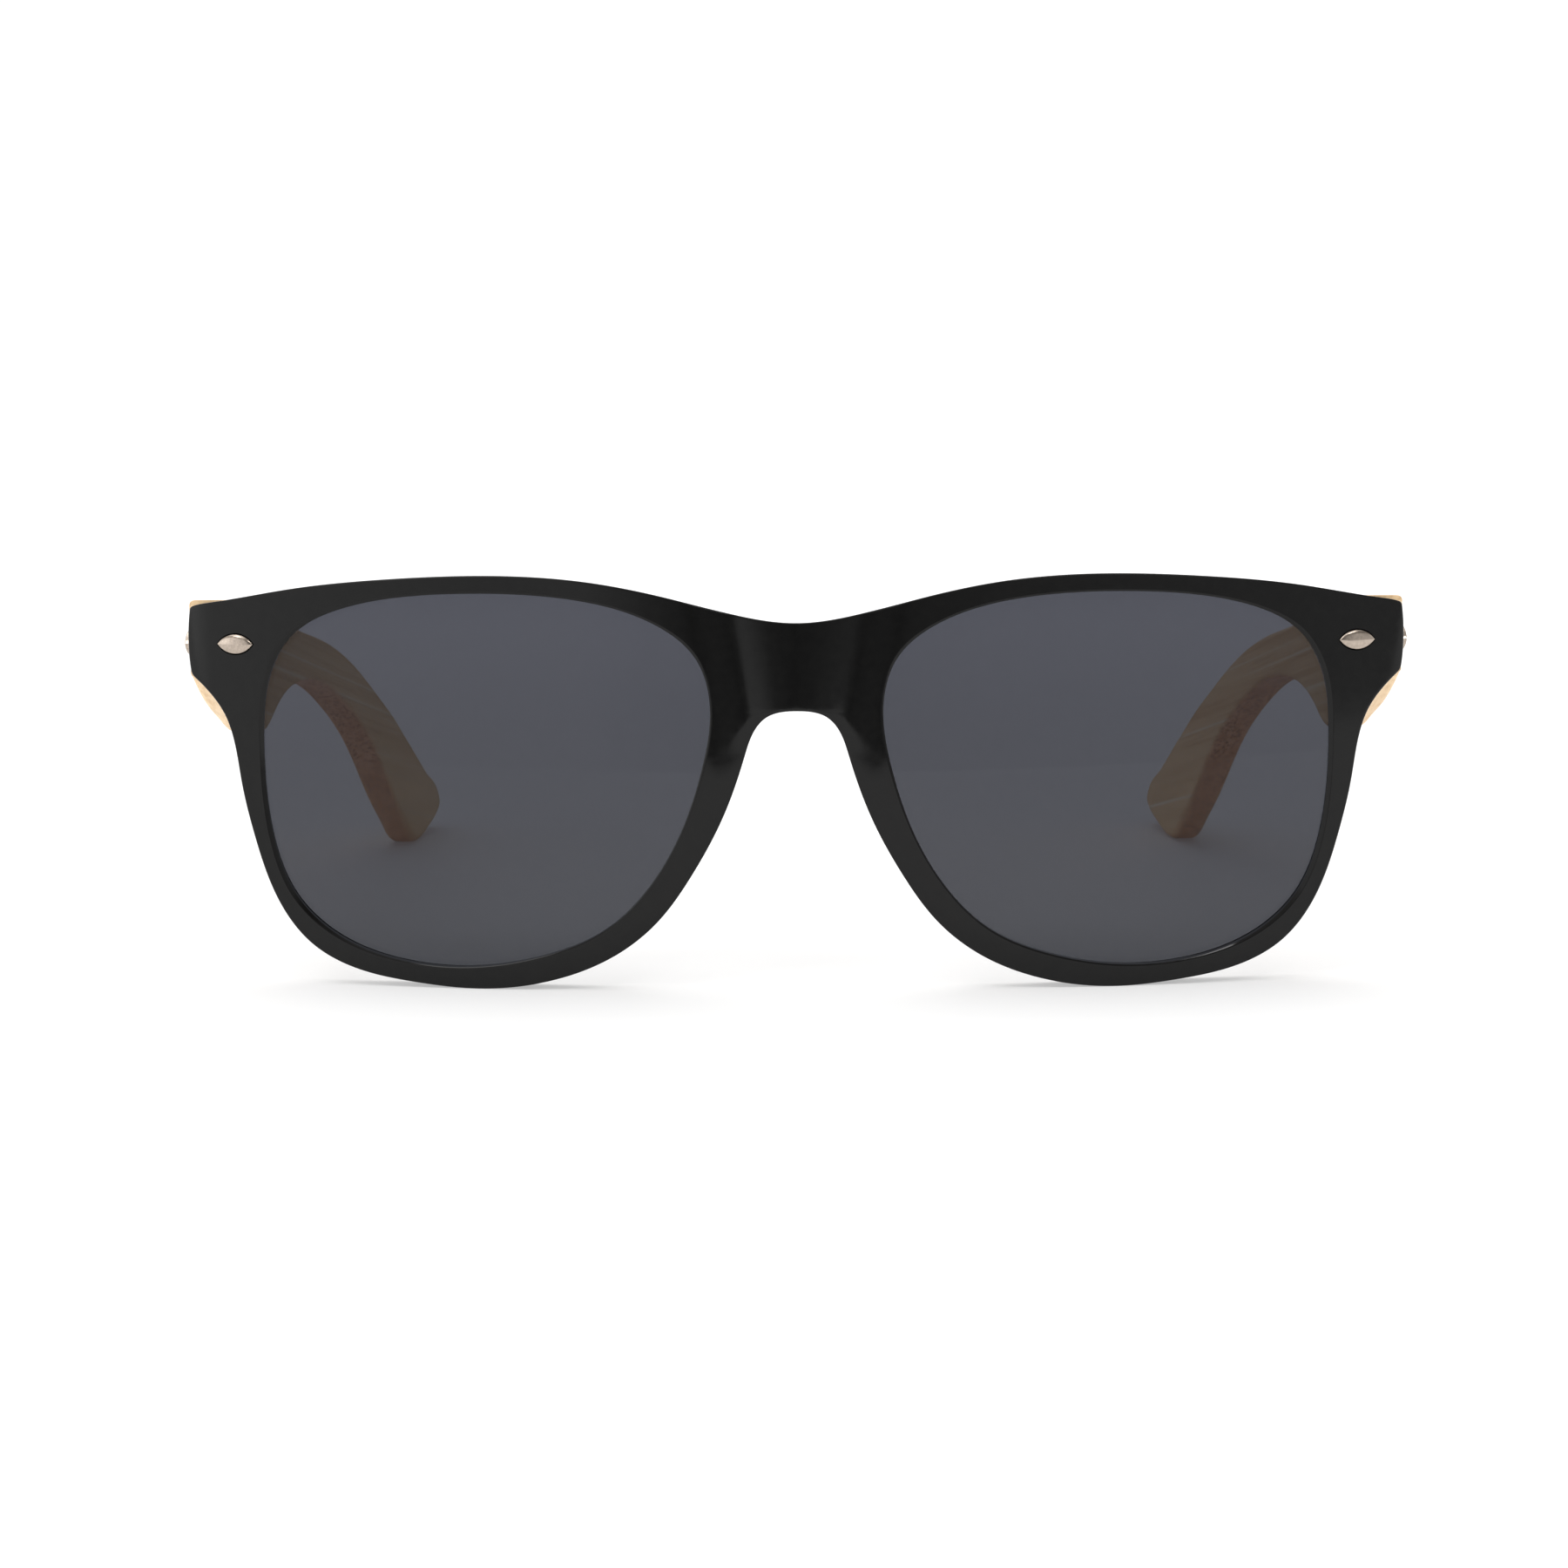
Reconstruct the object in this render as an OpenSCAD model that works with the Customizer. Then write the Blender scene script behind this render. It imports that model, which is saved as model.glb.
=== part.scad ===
// Sunglasses with a moulded black front, tinted lenses and bamboo temples on barrel hinges.
// Millimetres. +X is the wearer's left, +Y runs back along the temples, +Z is up.
// They stand open on the lower rims and the temple tips, with the origin under their middle.

/* [Lens openings] */
// Width of a lens opening
lens_w = 53.2; // [47:0.2:58]
// Height of a lens opening
lens_h = 44.2; // [38:0.2:50]
// Distance between the two lens openings
bridge_w = 20.2; // [17:0.2:24]

/* [Front frame] */
// Width of the frame from a lens opening out to its end
end_w = 9.2; // [8:0.1:12]
// Wall of the frame above a lens opening
rim_top = 2.1; // [1.6:0.1:4]
// Wall of the rim below a lens opening
rim_bottom = 2.6; // [1.8:0.1:4]
// Wall of the rim at the temple side
rim_side = 3; // [2:0.1:4]
// Wall of the rim at the nose side
rim_nose = 3.9; // [2.8:0.1:4.6]
// Wall between a lens opening and the shoulder of the nose arch
arch_wall = 5.2; // [4:0.1:6]
// Drop of the bridge's upper edge below the brow
bridge_drop = 5.5; // [3:0.1:8]
// Height of the bridge at the middle
bridge_h = 10.3; // [7:0.1:14]
// Height of an end piece
end_h = 8.7; // [8.4:0.1:11]
// Drop of an end piece's middle below the top of the lens opening
end_drop = 6.15; // [5:0.05:9]
// Radius of the bow of the front, seen from above
front_radius = 270; // [200:5:500]
// Thickness of the front, front to back
front_t = 4.2; // [3.8:0.1:6]
// Rounding of the front's outer edge
edge_r = 0.35; // [0.2:0.05:1.2]
// Width of the strip at each end where the face rolls back
end_roll = 2.8; // [1.2:0.1:3]
// Depth that the face rolls back by at its ends
end_fall = 0.4; // [0:0.05:0.6]
// Chamfer at the mouth of a lens opening
mouth_chamfer = 0.3; // [0.1:0.05:0.6]
// Depth that a nose pad stands behind the front
pad_rise = 3.8; // [1:0.1:5]
// Splay of a nose pad towards the face, in degrees
pad_splay = 28; // [10:1:36]
// Rise of the hinge seat behind the end of the front
seat_rise = 0.1; // [0.05:0.05:1]

/* [Lenses] */
// Radius of a lens's outer face
lens_radius = 220; // [150:5:240]
// Thickness of a lens
lens_t = 1.8; // [1.4:0.1:2.2]
// Depth of a lens's middle behind the face of the front
lens_sit = 0.3; // [0:0.1:0.6]
// Depth of the groove that holds a lens
groove_depth = 0.8; // [0.5:0.1:1.2]
// Clearance of a lens in its groove
lens_gap = 0.05; // [0.02:0.01:0.1]
// Least wall of the rim behind a lens
back_lip = 0.6; // [0.4:0.1:1.2]

/* [Metal trims] */
// Length of an eye-shaped trim on the front
trim_l = 4.5; // [3:0.1:5]
// Height of an eye-shaped trim on the front
trim_h = 2.35; // [1.5:0.05:3]
// Crown of a front trim above the frame
trim_rise = 0.45; // [0.2:0.05:0.8]
// Depth of the recess that a front trim sits in
trim_sink = 0.7; // [0.4:0.1:1]
// Gap round a front trim in its recess
trim_gap = 0.15; // [0.1:0.05:0.4]
// Length of an eye-shaped trim on a temple
stud_l = 5; // [3:0.1:6]
// Height of an eye-shaped trim on a temple
stud_h = 3.1; // [1.5:0.1:3.2]
// Crown of a temple trim above the bamboo
stud_rise = 1.2; // [0.4:0.1:1.5]
// Depth of the recess that a temple trim sits in
stud_sink = 0.3; // [0.1:0.1:0.6]
// Distance of a temple trim's middle from the temple's front end
stud_at = 2.9; // [2.6:0.1:6]
// Drop of a temple trim's middle below the middle of the hinge
stud_drop = 0.5; // [0:0.1:1]
// Width of the square pin behind a trim
pin_w = 1; // [0.6:0.1:1.2]
// Length of the square pin behind a trim
pin_l = 1.5; // [1:0.1:2]

/* [Hinges] */
// Height of a hinge over all its knuckles
hinge_h = 6.2; // [5:0.1:6.6]
// Number of knuckles on a hinge
knuckles = 5; // [3:2:7]
// Outer diameter of a knuckle
barrel_d = 2.8; // [2.4:0.1:3.2]
// Clearance round the barrel
barrel_gap = 0.25; // [0.2:0.05:0.5]
// Gap between two knuckles
knuckle_gap = 0.08; // [0.05:0.01:0.15]
// Thickness of a hinge leaf
leaf_t = 1; // [0.7:0.1:1.2]
// Height of the leaf on a temple
leaf_h = 5.4; // [4:0.1:6]
// Length of the leaf on a temple, from the hinge's axis
leaf_l = 11.5; // [10:0.5:15]
// Depth of the prong that anchors a hinge in the front
prong_l = 1.5; // [0.8:0.1:2]
// Width of the square prong that anchors a hinge in the front
prong_w = 1.8; // [1:0.1:2.4]
// Diameter of a hinge screw
screw_d = 1.2; // [0.8:0.1:1.4]
// Diameter of a hinge screw's head
screw_head_d = 2.2; // [1.8:0.1:2.6]
// Height of a hinge screw's head
screw_head_h = 0.7; // [0.4:0.1:1]
// Running clearance of a temple's knuckles on the screw
pin_gap = 0.04; // [0.02:0.01:0.1]
// Clearance of fixed pieces in their seats
seat_gap = 0.02; // [0.01:0.01:0.05]
// Diameter of a leaf screw
leaf_screw_d = 1; // [0.8:0.1:1.4]
// Diameter of a leaf screw's head
leaf_head_d = 1.9; // [1.6:0.1:2.4]
// Height of a leaf screw's head
leaf_head_h = 0.5; // [0.3:0.1:0.6]
// Depth of a leaf screw in the bamboo
leaf_screw_l = 2.4; // [1.5:0.1:3]
// Distance of the first leaf screw behind the hinge's axis
leaf_screw_at = 3.6; // [3.2:0.1:4.5]
// Distance between the two leaf screws
leaf_screw_pitch = 5; // [3:0.1:6]

/* [Temples] */
// Length of a temple, from its front end to its tip
temple_l = 134.8; // [128:0.2:150]
// Thickness of a temple
temple_t = 4.4; // [4:0.1:6]
// Rounding of a temple's long edges
temple_edge = 0.6; // [0.3:0.1:1.2]
// Rounding of a temple's edges where the tip touches the ground
tip_edge = 1.3; // [0.6:0.1:1.6]
// Inward slant of a temple, in degrees
toe_in = 4.75; // [0:0.25:8]
// Step of a temple's outer face outside the end piece
temple_step = 0.5; // [0.2:0.1:2]
// Gap between a temple's front end and the end piece
butt_gap = 0.2; // [0.1:0.05:0.4]
// Height of a temple at its front end
root_h = 9.3; // [8:0.1:11]
// Distance of the temple's deepest place from its front end
bulge_at = 18.6; // [16:0.1:24]
// Height of a temple at its deepest place
bulge_h = 15.2; // [11:0.1:18]
// Height of a temple at its waist
waist_h = 6.1; // [5:0.1:9]
// Height of a temple's flared tip
tip_h = 13; // [9:0.1:16]

/* [Hidden] */
$fn = 64;
LEFT = 1;
RIGHT = -1;

// Length of a side of the facets along the outlines
facet = 3.2;
// Facets of the spheres that shape the lenses
sphere_fn = 200;

// Heights and widths of the front
lens_in = bridge_w / 2;
lens_out = lens_in + lens_w;
lens_cx = lens_in + lens_w / 2;
lens_cz = rim_bottom + lens_h / 2;
lens_top = rim_bottom + lens_h;
brow_top = lens_top + rim_top;
bridge_top = brow_top - bridge_drop;
bridge_low = bridge_top - bridge_h;
half_w = lens_out + end_w;
side_x = lens_out + rim_side;
end_z = lens_top - end_drop;
end_top = end_z + end_h / 2;
end_low = end_z - end_h / 2;
arch_x = lens_in - arch_wall;

// Place of the hinge: the seat's plane, the temple's front end and the hinge's axis
seat_y = bow(half_w) + front_t + seat_rise;
butt_y = seat_y + butt_gap;
outer_x = half_w + temple_step;
inner_x = outer_x - temple_t;
reach = barrel_d / 2 + barrel_gap;
axis_y = seat_y + reach;
axis_x = inner_x - (axis_y - butt_y) * tan(toe_in) - reach / cos(toe_in);
board_t = temple_t * cos(toe_in);
hinge_low = end_z - hinge_h / 2;
pitch = hinge_h / knuckles;
seat_margin = 0.8;

// Depth of the bowed face of the front at a distance from the middle
function bow(x) = front_radius - sqrt(front_radius * front_radius - x * x);
function mix(a, b, t) = a + (b - a) * t;
function clamp01(t) = min(1, max(0, t));
function ease(t) = let (c = clamp01(t)) c * c * (3 - 2 * c);
function turn_left(v) = [-v[1], v[0]] / norm(v);

// Smooth curves through points: tangents make the curvature run on from piece to piece
function chords(p) = [for (i = [0 : len(p) - 2]) norm(p[i + 1] - p[i])];
function relaxed(p, h, m, rounds) = rounds == 0 ? m : relaxed(p, h, [
    for (i = [0 : len(p) - 1])
        i == 0 || i == len(p) - 1 ? m[i] :
        (3 * (h[i] / h[i - 1] * (p[i] - p[i - 1]) + h[i - 1] / h[i] * (p[i + 1] - p[i]))
            - h[i] * m[i - 1] - h[i - 1] * m[i + 1]) / (2 * (h[i - 1] + h[i]))
], rounds - 1);
function tangents(p, h, first, last) = relaxed(p, h, [
    for (i = [0 : len(p) - 1])
        i == 0 ? first : i == len(p) - 1 ? last : (p[i + 1] - p[i - 1]) / (h[i - 1] + h[i])
], 24);
function hermite(a, b, ma, mb, h, t) =
    (2 * t * t * t - 3 * t * t + 1) * a + (t * t * t - 2 * t * t + t) * h * ma
    + (3 * t * t - 2 * t * t * t) * b + (t * t * t - t * t) * h * mb;
function curve(p, first, last, step) =
    let (h = chords(p), m = tangents(p, h, first, last)) [
        for (i = [0 : len(h) - 1])
            let (n = max(2, ceil(h[i] / step)))
            for (k = [0 : n - 1]) hermite(p[i], p[i + 1], m[i], m[i + 1], h[i], k / n),
        p[len(p) - 1]
    ];

// Outline of the left lens opening, in half widths and half heights from its middle, from the top round
opening_shape = [
    [0, 1], [0.34, 0.982], [0.64, 0.912], [0.86, 0.77], [0.972, 0.533], [1, 0.25],
    [0.995, -0.05], [0.96, -0.345], [0.867, -0.628], [0.677, -0.844], [0.38, -0.975],
    [0.06, -1], [-0.26, -0.933], [-0.518, -0.8], [-0.733, -0.547], [-0.878, -0.237],
    [-0.965, 0.086], [-1, 0.38], [-0.937, 0.66], [-0.745, 0.847], [-0.4, 0.968], [0, 1]
];
opening_points = [for (p = opening_shape) [p[0] * lens_w / 2, p[1] * lens_h / 2]];
opening_fine = curve(opening_points, [1, 0], [1, 0], facet / 4);
// Radius of the opening against the angle round its middle, measured clockwise from the top
function clock(v) = let (a = atan2(v[0], v[1])) a < 0 ? a + 360 : a;
opening_last = len(opening_fine) - 1;
opening_radius = [
    for (i = [0 : opening_last])
        [i == 0 ? 0 : i == opening_last ? 360 : clock(opening_fine[i]), norm(opening_fine[i])]
];
function opening(angle) =
    let (a = angle - 360 * floor(angle / 360), r = lookup(a, opening_radius))
    [lens_cx + r * sin(a), lens_cz + r * cos(a)];

// A place on the lens opening, moved out by shares of the rim's walls
function rim(u, v, wall, a, b) =
    [lens_cx + u * lens_w / 2 + wall * a, lens_cz + v * lens_h / 2 - rim_bottom * b];

// Outline of the left half of the front, clockwise from the middle of the bridge's upper edge
outline_points = [
    [0, bridge_top],
    [0.7 * lens_in, bridge_top + 0.17 * bridge_drop],
    [lens_in + 4.4, bridge_top + 0.51 * bridge_drop],
    [lens_cx - 0.48 * lens_w / 2, brow_top - 0.8],
    [lens_cx, brow_top],
    [lens_cx + 0.42 * lens_w / 2, mix(brow_top, end_top, 0.115)],
    [lens_cx + 0.87 * lens_w / 2, mix(brow_top, end_top, 0.44)],
    [half_w - 3, end_top + 0.52],
    [half_w - 0.85, end_top + 0.09],
    [half_w - 0.4, end_top - 0.15],
    [half_w - 0.24, end_top - 0.65],
    [half_w, end_z],
    [half_w - 0.2, end_low + 1.4],
    [half_w - 0.42, end_low + 0.6],
    [half_w - 1.05, end_low - 0.05],
    [half_w - 2.45, end_low - 1.4],
    [mix(side_x, half_w, 0.3), end_low - 4],
    [mix(side_x, half_w, 0.115), end_low - 7.3],
    rim(0.995, -0.036, rim_side, 1, 0),
    rim(0.957, -0.31, rim_side, 0.84, 0.13),
    rim(0.868, -0.6, rim_side, 0.757, 0.45),
    rim(0.715, -0.8, rim_side, 0.754, 0.79),
    rim(0.52, -0.925, rim_side, 0.61, 0.86),
    rim(0.3, -0.985, rim_side, 0.25, 0.89),
    rim(0.04, -1, rim_side, 0, 1),
    rim(-0.22, -0.945, rim_nose, -0.26, 1.12),
    rim(-0.47, -0.85, rim_nose, -0.67, 0.7),
    rim(-0.66, -0.66, rim_nose, -0.7, 0.73),
    rim(-0.8, -0.445, rim_nose, -0.75, 0.51),
    rim(-0.925, -0.1, rim_nose, -0.91, 0.62),
    [lens_in - 0.77 * arch_wall, bridge_low - 5.35],
    [arch_x, bridge_low - 2.25],
    [0.72 * arch_x, bridge_low - 0.75],
    [0.4 * arch_x, bridge_low - 0.15],
    [0, bridge_low]
];
outline = curve(outline_points, [1, 0], [-1, 0], facet);
// The loop is closed up the middle of the bridge
middle_steps = 4;
middle = [for (k = [1 : middle_steps - 1]) [0, mix(bridge_low, bridge_top, k / middle_steps)]];
loop = concat(outline, middle);
stations = len(loop);
outline_n = len(outline);
function wrap(k) = (k + stations) % stations;

// Angles of the stations round the lens, evened out so that the facets stay broad
function unrolled(i, a) =
    i >= stations ? [] :
    let (raw = clock(loop[i] - [lens_cx, lens_cz]), b = raw + 360 * round((a - raw) / 360))
    concat([b], unrolled(i + 1, b));
angles = unrolled(0, clock(loop[0] - [lens_cx, lens_cz]) - 360);
even_steps = 4;
function station_angle(k) = angles[wrap(k)] + 360 * floor(k / stations);
function even_angle(k) =
    let (w = [for (j = [-even_steps : even_steps]) station_angle(k + j)]) w * [for (a = w) 1] / len(w);
mouth = [for (k = [0 : stations - 1]) opening(even_angle(k))];
mouth_out = [for (k = [0 : stations - 1]) turn_left(mouth[wrap(k + 1)] - mouth[wrap(k - 1)])];
outline_out = [
    for (k = [0 : stations - 1])
        k == 0 ? [0, 1] : k == outline_n - 1 ? [0, -1] : k >= outline_n ? [-1, 0] :
        turn_left(loop[k + 1] - loop[k - 1])
];

// The lens's faces are two balls about one middle
lens_lean = asin(lens_cx / front_radius);
ball = [
    lens_cx - lens_radius * sin(lens_lean),
    bow(lens_cx) + lens_sit + lens_radius * cos(lens_lean),
    lens_cz
];
function lens_depth(p, r) =
    let (dx = p[0] - ball[0], dz = p[1] - ball[2]) ball[1] - sqrt(r * r - dx * dx - dz * dz);

// Share of the nose pad at a place on the outline
pad_top = bridge_low - 2;
pad_bottom = lens_cz - 0.8 * lens_h / 2;
function pad_share(p) =
    p[0] > lens_cx ? 0 :
    ease((pad_top - p[1]) / (0.3 * (pad_top - pad_bottom)))
    * ease((p[1] - pad_bottom) / (0.45 * (pad_top - pad_bottom)));
// Depth that the face has rolled back by at a distance from the middle
function fall(x) = end_fall * pow(clamp01((x - half_w + end_roll) / end_roll), 2);

// One section through the rim, from the mouth of the opening over the face to the outside and back
back_chamfer = 0.4;
arc_steps = 3;
function at(p, y) = [p[0], bow(p[0]) + y, p[1]];
function on_face(p, y) = at(p, y + fall(p[0]));
function section(k) =
    let (
        i = mouth[k], n = mouth_out[k], o = loop[k], m = outline_out[k],
        edge = k >= outline_n ? 0 : 1,
        pad = pad_share(o) * edge,
        round_r = edge * edge_r,
        back = front_t + pad * pad_rise,
        lean = min(pad * pad_rise * tan(pad_splay), norm(o - i) - 2.5 * back_chamfer),
        o_back = o - m * lean,
        face_in = i + n * mouth_chamfer,
        face_out = o - m * round_r,
        back_out = o_back - m * back_chamfer * edge,
        back_in = i + n * back_chamfer,
        deep = i + n * groove_depth,
        front_r = lens_radius + lens_gap,
        back_r = lens_radius - lens_t - lens_gap,
        lip = max(front_t, lens_depth(i, back_r) - bow(i[0]) + back_lip)
    ) concat(
        [on_face(face_in, 0), on_face(mix(face_in, face_out, 0.5), 0)],
        [for (s = [0 : arc_steps])
            let (a = 90 * s / arc_steps)
            on_face(o - m * round_r * (1 - sin(a)), round_r * (1 - cos(a)))],
        [
            at(o_back, back - back_chamfer * edge),
            at(back_out, back),
            at(mix(back_out, back_in, 0.5), mix(lip, back, 0.55)),
            at(back_in, lip),
            at(i, lip - back_chamfer),
            [i[0], lens_depth(i, back_r), i[1]],
            [deep[0], lens_depth(deep, back_r), deep[1]],
            [deep[0], lens_depth(deep, front_r), deep[1]],
            [i[0], lens_depth(i, front_r), i[1]],
            at(i, mouth_chamfer)
        ]
    );
rings = [for (k = [0 : stations - 1]) section(k)];
ring_n = len(rings[0]);
// Ring places from the end of the face to the back's outer edge, open where the two halves meet
wall_first = 2;
wall_last = wall_first + arc_steps + 2;

// The front's shell: the left half's rings and their mirror image, joined along the middle
module front_shell() {
    half = [for (r = rings) for (p = r) p];
    count = len(half);
    function mirrored(i) = abs(half[i][0]) < 0.000001 ? i : i + count;
    quads = [
        for (k = [0 : stations - 1])
            let (next = wrap(k + 1), inside = k >= outline_n - 1)
            for (j = [0 : ring_n - 1])
                if (!(inside && j >= wall_first && j < wall_last))
                    let (up = (j + 1) % ring_n)
                    [k * ring_n + j, k * ring_n + up, next * ring_n + up, next * ring_n + j]
    ];
    sides = [for (q = quads) each [[q[0], q[1], q[2]], [q[0], q[2], q[3]]]];
    polyhedron(
        concat(half, [for (p = half) [-p[0], p[1], p[2]]]),
        concat(sides, [for (f = sides) [mirrored(f[2]), mirrored(f[1]), mirrored(f[0])]])
    );
}

// Eye shape: the overlap of two circles, a length and a height apart from point to point
function eye(l, h, steps) =
    let (r = (l * l + h * h) / (4 * h), a = asin(l / (2 * r)))
    concat(
        [for (k = [0 : steps - 1]) let (t = mix(-a, a, k / steps)) [r * sin(t), r * cos(t) - r + h / 2]],
        [for (k = [0 : steps - 1]) let (t = mix(a, -a, k / steps)) [r * sin(t), r - r * cos(t) - h / 2]]
    );
eye_steps = 10;

// Eye-shaped metal trim: a foot sunk in its recess, a straight wall, a crown that rises to a short ridge,
// and a square pin behind
module eye_trim(l, h, foot, wall, rise) {
    crown_steps = 4;
    levels = [
        [1, 1, -foot],
        for (k = [0 : crown_steps])
            let (t = k / crown_steps) [mix(1, 0.6, t), cos(80 * t), wall + rise * sin(80 * t)]
    ];
    base = eye(l, h, eye_steps);
    n = len(base);
    points = [for (s = levels) for (p = base) [p[0] * s[0], p[1] * s[1], s[2]]];
    top = (len(levels) - 1) * n;
    polyhedron(points, concat(
        [[for (k = [n - 1 : -1 : 0]) k]],
        [for (s = [0 : len(levels) - 2]) for (k = [0 : n - 1])
            let (a = s * n + k, b = s * n + (k + 1) % n) each [[a, b, a + n], [b, b + n, a + n]]],
        [[for (k = [0 : n - 1]) top + k]]
    ));
    translate([-pin_w / 2, -pin_w / 2, -foot - pin_l])
        cube([pin_w, pin_w, pin_l + foot / 2]);
}

// The recess and pin hole that a trim sits in
module trim_recess(l, h, sink, gap) {
    translate([0, 0, -sink])
        linear_extrude(sink + 2)
            polygon(eye(l + 2 * gap, h + 2 * gap, eye_steps));
    hole = pin_w + 2 * seat_gap;
    translate([-hole / 2, -hole / 2, -sink - pin_l - seat_gap])
        cube([hole, hole, pin_l + seat_gap + 0.01]);
}

// Side outline of a temple, as depth behind its front end and height over the ground:
// back along the upper edge, round the tip, and forward along the lower edge
root_top = end_z + 0.15 + root_h / 2;
root_low = root_top - root_h;
bulge_low = root_top - 2.55 - bulge_h;
waist_low = root_top - 7.35 - waist_h;
temple_points = [
    [0, root_top],
    [10, root_top - 0.95],
    [24, root_top - 3.55],
    [39, root_top - 6.45],
    [54, root_top - 9.05],
    [temple_l - 62.2, root_top - 13.95],
    [temple_l - 46.4, 0.355 * root_top + 0.74 * tip_h],
    [temple_l - 23.4, tip_h + 3.6],
    [temple_l - 6.8, tip_h - 3.9],
    [temple_l - 0.9, tip_h - 7.4],
    [temple_l, tip_h - 8.8],
    [temple_l - 2.6, 2.5],
    [temple_l - 9.5, 0.75],
    [temple_l - 17.5, 0],
    [temple_l - 22, 0.9],
    [temple_l - 26.4, 3.3],
    [temple_l - 33, 0.16 * root_top],
    [temple_l - 50.8, 0.412 * root_top],
    [temple_l - 67, root_top - 19.45],
    [54, waist_low - 1.7],
    [42, waist_low],
    [bulge_at + 12.2, mix(bulge_low, waist_low, 0.87)],
    [bulge_at + 5.6, mix(bulge_low, waist_low, 0.42)],
    [bulge_at, bulge_low],
    [0.67 * bulge_at, mix(bulge_low, root_low, 0.22)],
    [0.4 * bulge_at, mix(bulge_low, root_low, 0.46)],
    [0.19 * bulge_at, mix(bulge_low, root_low, 0.71)],
    [0, root_low]
];
temple_outline = curve(temple_points, [1, -0.03], [-0.78, 0.62], facet);
temple_n = len(temple_outline);
temple_tip = [for (k = [0 : temple_n - 1]) if (temple_outline[k][0] == temple_l) k][0];

// Everything is laid out from the bridge's face and then stood on the origin
depth = butt_y + max([for (p = temple_outline) p[0]]);
lowest = min([for (p = concat(outline, temple_outline)) p[1]]);
module stand() {
    translate([0, -depth / 2, -lowest])
        children();
}

module on_side(side) {
    stand()
        mirror([side == RIGHT ? 1 : 0, 0, 0])
            children();
}

// Frame of a temple's hinge: the axis is the origin, +X points out of the board and +Y runs along it
module at_hinge() {
    translate([axis_x, axis_y, end_z])
        rotate([0, 0, toe_in])
            children();
}

// Frame of a front trim: +Z points out of the bowed face
trim_x = axis_x - 0.24;
module at_front_trim() {
    translate([trim_x, bow(trim_x), end_z - 0.05])
        rotate([0, 0, asin(trim_x / front_radius)])
            rotate([90, 0, 0])
                children();
}

// Frame of a temple trim: +Z points out of the board's outer face
module at_temple_trim() {
    at_hinge()
        translate([reach + board_t, stud_at - (axis_y - butt_y), -stud_drop])
            rotate([90, 0, 90])
                children();
}

// Slices of the barrel: the front carries the even knuckles and the temple the odd ones
module barrel_slices(first) {
    for (k = [first : 2 : knuckles - 1])
        translate([0, 0, hinge_low - end_z + k * pitch + knuckle_gap / 2])
            children();
}
knuckle_h = pitch - knuckle_gap;

// Block behind the end piece, flat at the back, that the hinge is sunk in
module seat_block() {
    inboard = axis_x - barrel_d / 2 - seat_margin - 0.2;
    outboard = half_w - back_chamfer;
    block_t = 2.6;
    block_h = max(end_h - 2 * seat_margin, hinge_h + seat_margin);
    translate([inboard, seat_y - block_t, end_z - block_h / 2])
        cube([outboard - inboard, block_t, block_h]);
}

// Leaf of the front's hinge: a plate sunk in the seat, and a prong.
// A gap widens it all round and a mouth carries it on behind the seat, for the pocket that it sits in.
module front_leaf(gap, mouth_l) {
    w = barrel_d + 0.4;
    translate([axis_x - w / 2 - gap, seat_y - leaf_t - gap, hinge_low - gap])
        cube([w + 2 * gap, leaf_t + gap + mouth_l, hinge_h + 2 * gap]);
    translate([axis_x - prong_w / 2 - gap, seat_y - leaf_t - prong_l - gap, end_z - prong_w / 2 - gap])
        cube([prong_w + 2 * gap, prong_l + leaf_t / 2 + gap, prong_w + 2 * gap]);
}

module front_frame() {
    color("#1b1b1d")
        stand()
            difference() {
                union() {
                    front_shell();
                    for (side = [0, 1])
                        mirror([side, 0, 0])
                            seat_block();
                }
                for (side = [0, 1])
                    mirror([side, 0, 0]) {
                        front_leaf(seat_gap, 1);
                        at_front_trim()
                            trim_recess(trim_l, trim_h, trim_sink, trim_gap);
                    }
            }
}

module lens(side) {
    rim_line = [for (k = [0 : stations - 1]) mouth[k] + mouth_out[k] * (groove_depth - lens_gap)];
    color("#54565c")
        on_side(side)
            intersection() {
                translate(ball)
                    difference() {
                        sphere(lens_radius, $fn = sphere_fn);
                        sphere(lens_radius - lens_t, $fn = sphere_fn);
                    }
                translate([0, seat_y, 0])
                    rotate([90, 0, 0])
                        linear_extrude(seat_y)
                            polygon(rim_line);
            }
}

module front_trim(side) {
    color("#c9b9a6")
        on_side(side)
            at_front_trim()
                eye_trim(trim_l, trim_h, trim_sink, 0, trim_rise);
}

module temple_trim(side) {
    color("#c9b9a6")
        on_side(side)
            at_temple_trim()
                eye_trim(stud_l, stud_h, stud_sink, 0.7 * stud_rise, 0.3 * stud_rise);
}

module front_hinge(side) {
    color("#b9bcc0")
        on_side(side)
            difference() {
                union() {
                    front_leaf(0, 0);
                    translate([axis_x, axis_y, end_z])
                        barrel_slices(0) {
                            cylinder(h = knuckle_h, d = barrel_d);
                            translate([-barrel_d / 2, -reach - leaf_t / 2, 0])
                                cube([barrel_d, reach + leaf_t / 2, knuckle_h]);
                        }
                }
                translate([axis_x, axis_y, hinge_low - 1])
                    cylinder(h = hinge_h + 2, d = screw_d + 2 * seat_gap);
            }
}

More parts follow.
